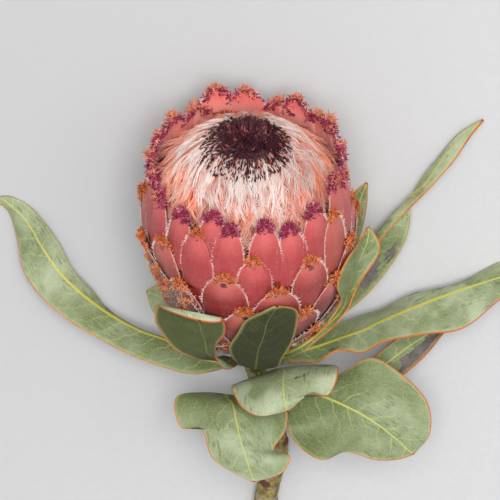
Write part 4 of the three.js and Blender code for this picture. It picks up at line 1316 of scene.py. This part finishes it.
leaf_blade(
    "left_front", stem=(9, -68, -1), faces=("shaded_side", "upper"), rust=(0.5, 0.8, 0.8, 1.2), tone=(0.1, -0.65),
    ribs=[
        (-13, -7, 13, -8.5, -9, 15, -5, -10.5, 15),
        (-18, -8, 27, -10.5, -10, 30, -7, -12, 30),
        (-22, -7.5, 41, -13.5, -7.5, 47, -12, -12, 44),
        (-28.5, -5.5, 54, -19.6, -3, 61, -15.5, -6, 58),
        (-37.2, -0.3, 62, -20.9, 3.2, 70, -15, 1.2, 69),
        (-42.9, 7.8, 66, -22.3, 8.3, 78, -11, 6.3, 78),
        (-45.3, 13.2, 69, -23.7, 14.3, 84, -10.4, 11.3, 85),
        (-44.1, 20.2, 74, -24, 16.8, 88, -11.9, 14.3, 89),
        (-41, 18.8, 79, -23, 13, 91, -12.4, 12.9, 91),
    ],
)
leaf_blade(
    "centre_front", stem=(14, 8, -1), faces=("shaded_side", "upper"), rust=(0, 0.1, 0.1, 0.4), tone=(1.6, 1.2),
    ribs=[
        (0, -11, 18, 3.5, -12, 22, 7.5, -12, 19),
        (-5, -9, 40, 4, -11.5, 44, 15, -11, 38),
        (-9, 0, 70, 5.5, -1, 71.5, 17.5, -5.5, 58),
        (-4.6, 7.5, 83, 7.7, 5.5, 81.5, 21.5, 1.5, 66),
        (-0.7, 13.5, 90.5, 9.5, 12.6, 89.5, 24, 10.5, 78),
        (7, 17.5, 95, 12, 17, 95, 24, 18.5, 88.5),
        (13, 20.5, 98, 14.3, 20.5, 98, 16, 20.5, 97.5),
    ],
)
leaf_blade(
    "right_front", stem=(8, 60, 1), faces=("upper", "shaded_side"), rust=(0.3, 0.6, 0.4, 0.7), tone=(2.2, 1.7),
    ribs=[
        (15, -3, 11, 16, -6, 11, 16, -8.5, 9),
        (26.6, 3, 34, 27.5, -1, 32, 27, -4.5, 28),
        (37.3, 13, 50, 39.8, 10, 42, 41.3, 7.5, 42),
        (44.8, 21.5, 58, 47.3, 18.5, 46, 49.8, 17.5, 48),
        (42.8, 30, 77, 49.8, 27.5, 56, 53.3, 26.5, 54),
        (44.3, 36.5, 81, 52.3, 36.5, 60, 57.3, 33.5, 56),
        (48.8, 45, 79, 56.3, 45, 62, 64.8, 44.5, 58),
        (53.3, 51, 70, 58.8, 51.5, 62, 65.8, 50, 60),
        (57.3, 54.5, 64, 59.8, 55, 61, 63.3, 55, 61),
        (59.2, 59, 61, 59.8, 59, 60.5, 60.4, 59, 60),
    ],
)
leaf_blade(
    "right_rising", stem=(12, 108, 1), faces=("upper", "upper"), rust=(0.3, 0.8, 0.4, 0), tone=(2.4, -0.3),
    marks=[(0.42, 0.6, 0.1, 1), (0.33, 0.4, 0.09, 0.8), (0.5, 0.85, 0.06, 0.8)],
    ribs=[
        (26, 10, -8, 27, 6, -10, 29, 1, -12),
        (50.6, 23.6, -2, 45.4, 26.7, -6, 53.2, 16.4, -6),
        (62.3, 41.3, 3, 58.1, 43.4, -1, 68.5, 31.5, -2),
        (71, 55.2, 7, 68.4, 56.8, 4, 80.8, 50.6, 2),
        (81.1, 66.6, 11, 77.5, 68.1, 8, 83.7, 61.9, 5),
        (86.1, 71.7, 14, 84.5, 75.8, 12, 84, 73.2, 9),
        (94.5, 80.3, 18, 91, 81.3, 16, 87.9, 81.8, 12),
        (105.3, 92.9, 23, 101.2, 96, 21, 98.7, 96, 17),
        (113.2, 105, 26, 110.7, 105.5, 24, 108.2, 107.1, 22),
        (119.8, 113.2, 27.3, 119.6, 113.5, 27, 119.3, 113.9, 26.7),
    ],
)
leaf_blade(
    "long_right", stem=(19, 85, 1), faces=("upper", "shaded_side"), rust=(0, 0.2, 0.5, 1.2), tone=(0.6, -0.2),
    marks=[(0.24, 0.75, 0.05, 0.7), (0.5, -0.93, 0.05, 0.7)],
    ribs=[
        (25, -3, -11, 26.3, -6, -7, 27.3, -10.7, -4),
        (39, 4, -13, 37.7, -2.5, -7, 35.5, -10.9, -2),
        (49, 9, -15, 48.1, 1.2, -7, 46.5, -4.6, 0),
        (59.5, 13, -16, 59.7, 5.3, -6, 59.7, -5.7, 1),
        (69, 16, -15, 69.1, 9.9, -5, 69.1, -0.6, 3),
        (88, 25, -13, 89.9, 18.8, -4, 89.9, 3.7, 4),
        (106.5, 28.2, -13, 111, 26.6, -4, 111, 6.8, 3),
        (132, 41.2, -14, 132.2, 33.4, -7, 132, 22.4, -2),
        (151, 47.5, -13, 153.5, 41.2, -12, 153.5, 34.4, -11),
        (169.6, 45.6, -14.4, 169.7, 44.9, -14.7, 169.6, 44.2, -15),
    ],
)
leaf_blade(
    "behind_right", stem=(41, 95, 1), faces=("upper", "shaded_side"), rust=(0.3, 0.3, 0.7, 0.9), tone=(1.5, 1.3),
    marks=[(0.78, 0.95, 0.2, 2.4), (0.92, 0.6, 0.17, 2), (0.66, 1, 0.11, 1.6)],
    ribs=[
        (27.6, -25.2, -24, 30.2, -28.9, -24, 32.8, -34.1, -24),
        (51.3, -20.9, -23, 55, -25.2, -23, 61.8, -31.5, -20),
        (67.1, -8.3, -20, 75, -10.4, -22, 82.3, -17.8, -20),
        (75.5, -1.5, -19, 85.5, -2.5, -20, 93.4, -7.8, -18),
        (85.5, 5.4, -17, 95, 3.8, -18, 101.8, 2.8, -16),
        (106, 10, -15, 106.5, 9.6, -15, 107, 9.2, -15),
    ],
)
leaf_blade(
    "lower_right", stem=(26, 75, 1), faces=("upper", "shaded_side"), rust=(0.4, 1, 0.1, 0.9), tone=(2.4, 0.95),
    ribs=[
        (28.8, -15.9, -6, 25.2, -23.2, -4, 18.9, -33.1, -8),
        (47, -17, -4, 41.6, -29.2, 2, 23.1, -50, -6),
        (63.8, -8.3, 0, 55.5, -35.5, 6, 38.4, -60.9, 4),
        (78.7, -16, 2, 67.2, -42.5, 7, 50.3, -56.7, 2),
        (93.2, -31.5, 0, 77, -50.4, 5, 65.6, -60.7, 6),
        (94.2, -48, 0, 82.9, -55.8, 2, 78.7, -60.5, 2),
        (86.5, -57.5, 0, 86, -58, 0, 85.5, -58.5, 0),
    ],
)
leaf_blade(
    "centre_lower", stem=(20, 22, -1), faces=("upper", "shaded_side"), rust=(0.5, 0.9, 0.3, 1), tone=(0, -0.3),
    marks=[(0.72, 0.3, 0.045, 0.7), (0.6, 0.8, 0.05, 0.7)],
    ribs=[
        (1.3, -19.9, 8, 14.1, -14.2, 10, 27, -13.2, 6),
        (-7.9, -22.4, 20, 18.6, -14.2, 24, 44.6, -11.7, 18),
        (-5.8, -28, 28, 18, -20.4, 34, 45.8, -15.8, 28),
        (-2.3, -32.6, 34, 18.4, -26.1, 38, 40.6, -26.1, 34),
        (5.3, -36.1, 38, 19.4, -30.5, 39, 32, -24.5, 38),
        (19.2, -33.6, 37, 19.9, -33.6, 36.8, 20.6, -33.6, 36.5),
    ],
)
leaf_blade(
    "lower_left", stem=(36, -20, -1), faces=("upper", "shaded_side"), rust=(0.2, 0.9, 0.3, 0.8), tone=(2, 0.2),
    ribs=[
        (-21.6, -26.9, -8, -11.2, -28.4, -8, 7.5, -32.6, -8),
        (-37, -29.1, 0, -7.5, -33.2, 5, 19.9, -35.3, -2),
        (-34.3, -43.7, 8, -5.4, -42.6, 10, 19.3, -46.2, 2),
        (-24.4, -44, 10, -3.4, -51.2, 12, 13.6, -55.3, 4),
        (-18.3, -58.9, 9, -0.3, -60.4, 12, 21.8, -58.9, 10),
        (-8, -66.6, 10, 1.8, -67.1, 10, 18.2, -66.6, 10),
        (2.6, -71.7, 8, 3.3, -71.7, 8, 4, -71.7, 8),
    ],
)
leaf_blade(
    "rear_left", stem=(7, -145, -1), faces=("upper", "upper"), rust=(0.3, 0.1, 0.3, 0.1), tone=(0.8, 0.3),
    ribs=[
        (-9, 7.5, -15, -11.8, 3.1, -13, -14.5, -1, -14),
        (-19.5, 20.5, -20, -25, 12, -17.5, -30, 3.5, -20),
        (-31, 28, -21, -36.5, 18.7, -19.5, -41.5, 9.5, -22),
        (-41.5, 31, -20, -46, 22.9, -20, -49.5, 15, -21.5),
        (-53, 26.5, -20, -53, 25.5, -20, -53, 24.5, -20),
    ],
)
leaf_blade(
    "rear_right", stem=(7, 150, 1), faces=("upper", "shaded_side"), rust=(0.2, 0.3, 0.2, 0.3), tone=(2.4, 2.4),
    ribs=[
        (12, 7, -18, 16.9, 3.1, -17, 21, -1, -18),
        (24, 21, -17, 32.6, 18.8, -14, 40.3, 15, -16),
        (38, 42, -14, 45.5, 39.7, -12, 51, 36, -12),
        (47, 60, -4, 53.2, 57.9, -3, 58.6, 55.2, -3),
        (53.5, 75, 3, 58.2, 73.4, 3, 61.5, 70, 3),
        (61, 82.5, 6, 61.5, 82, 6, 62, 81.5, 6),
    ],
)
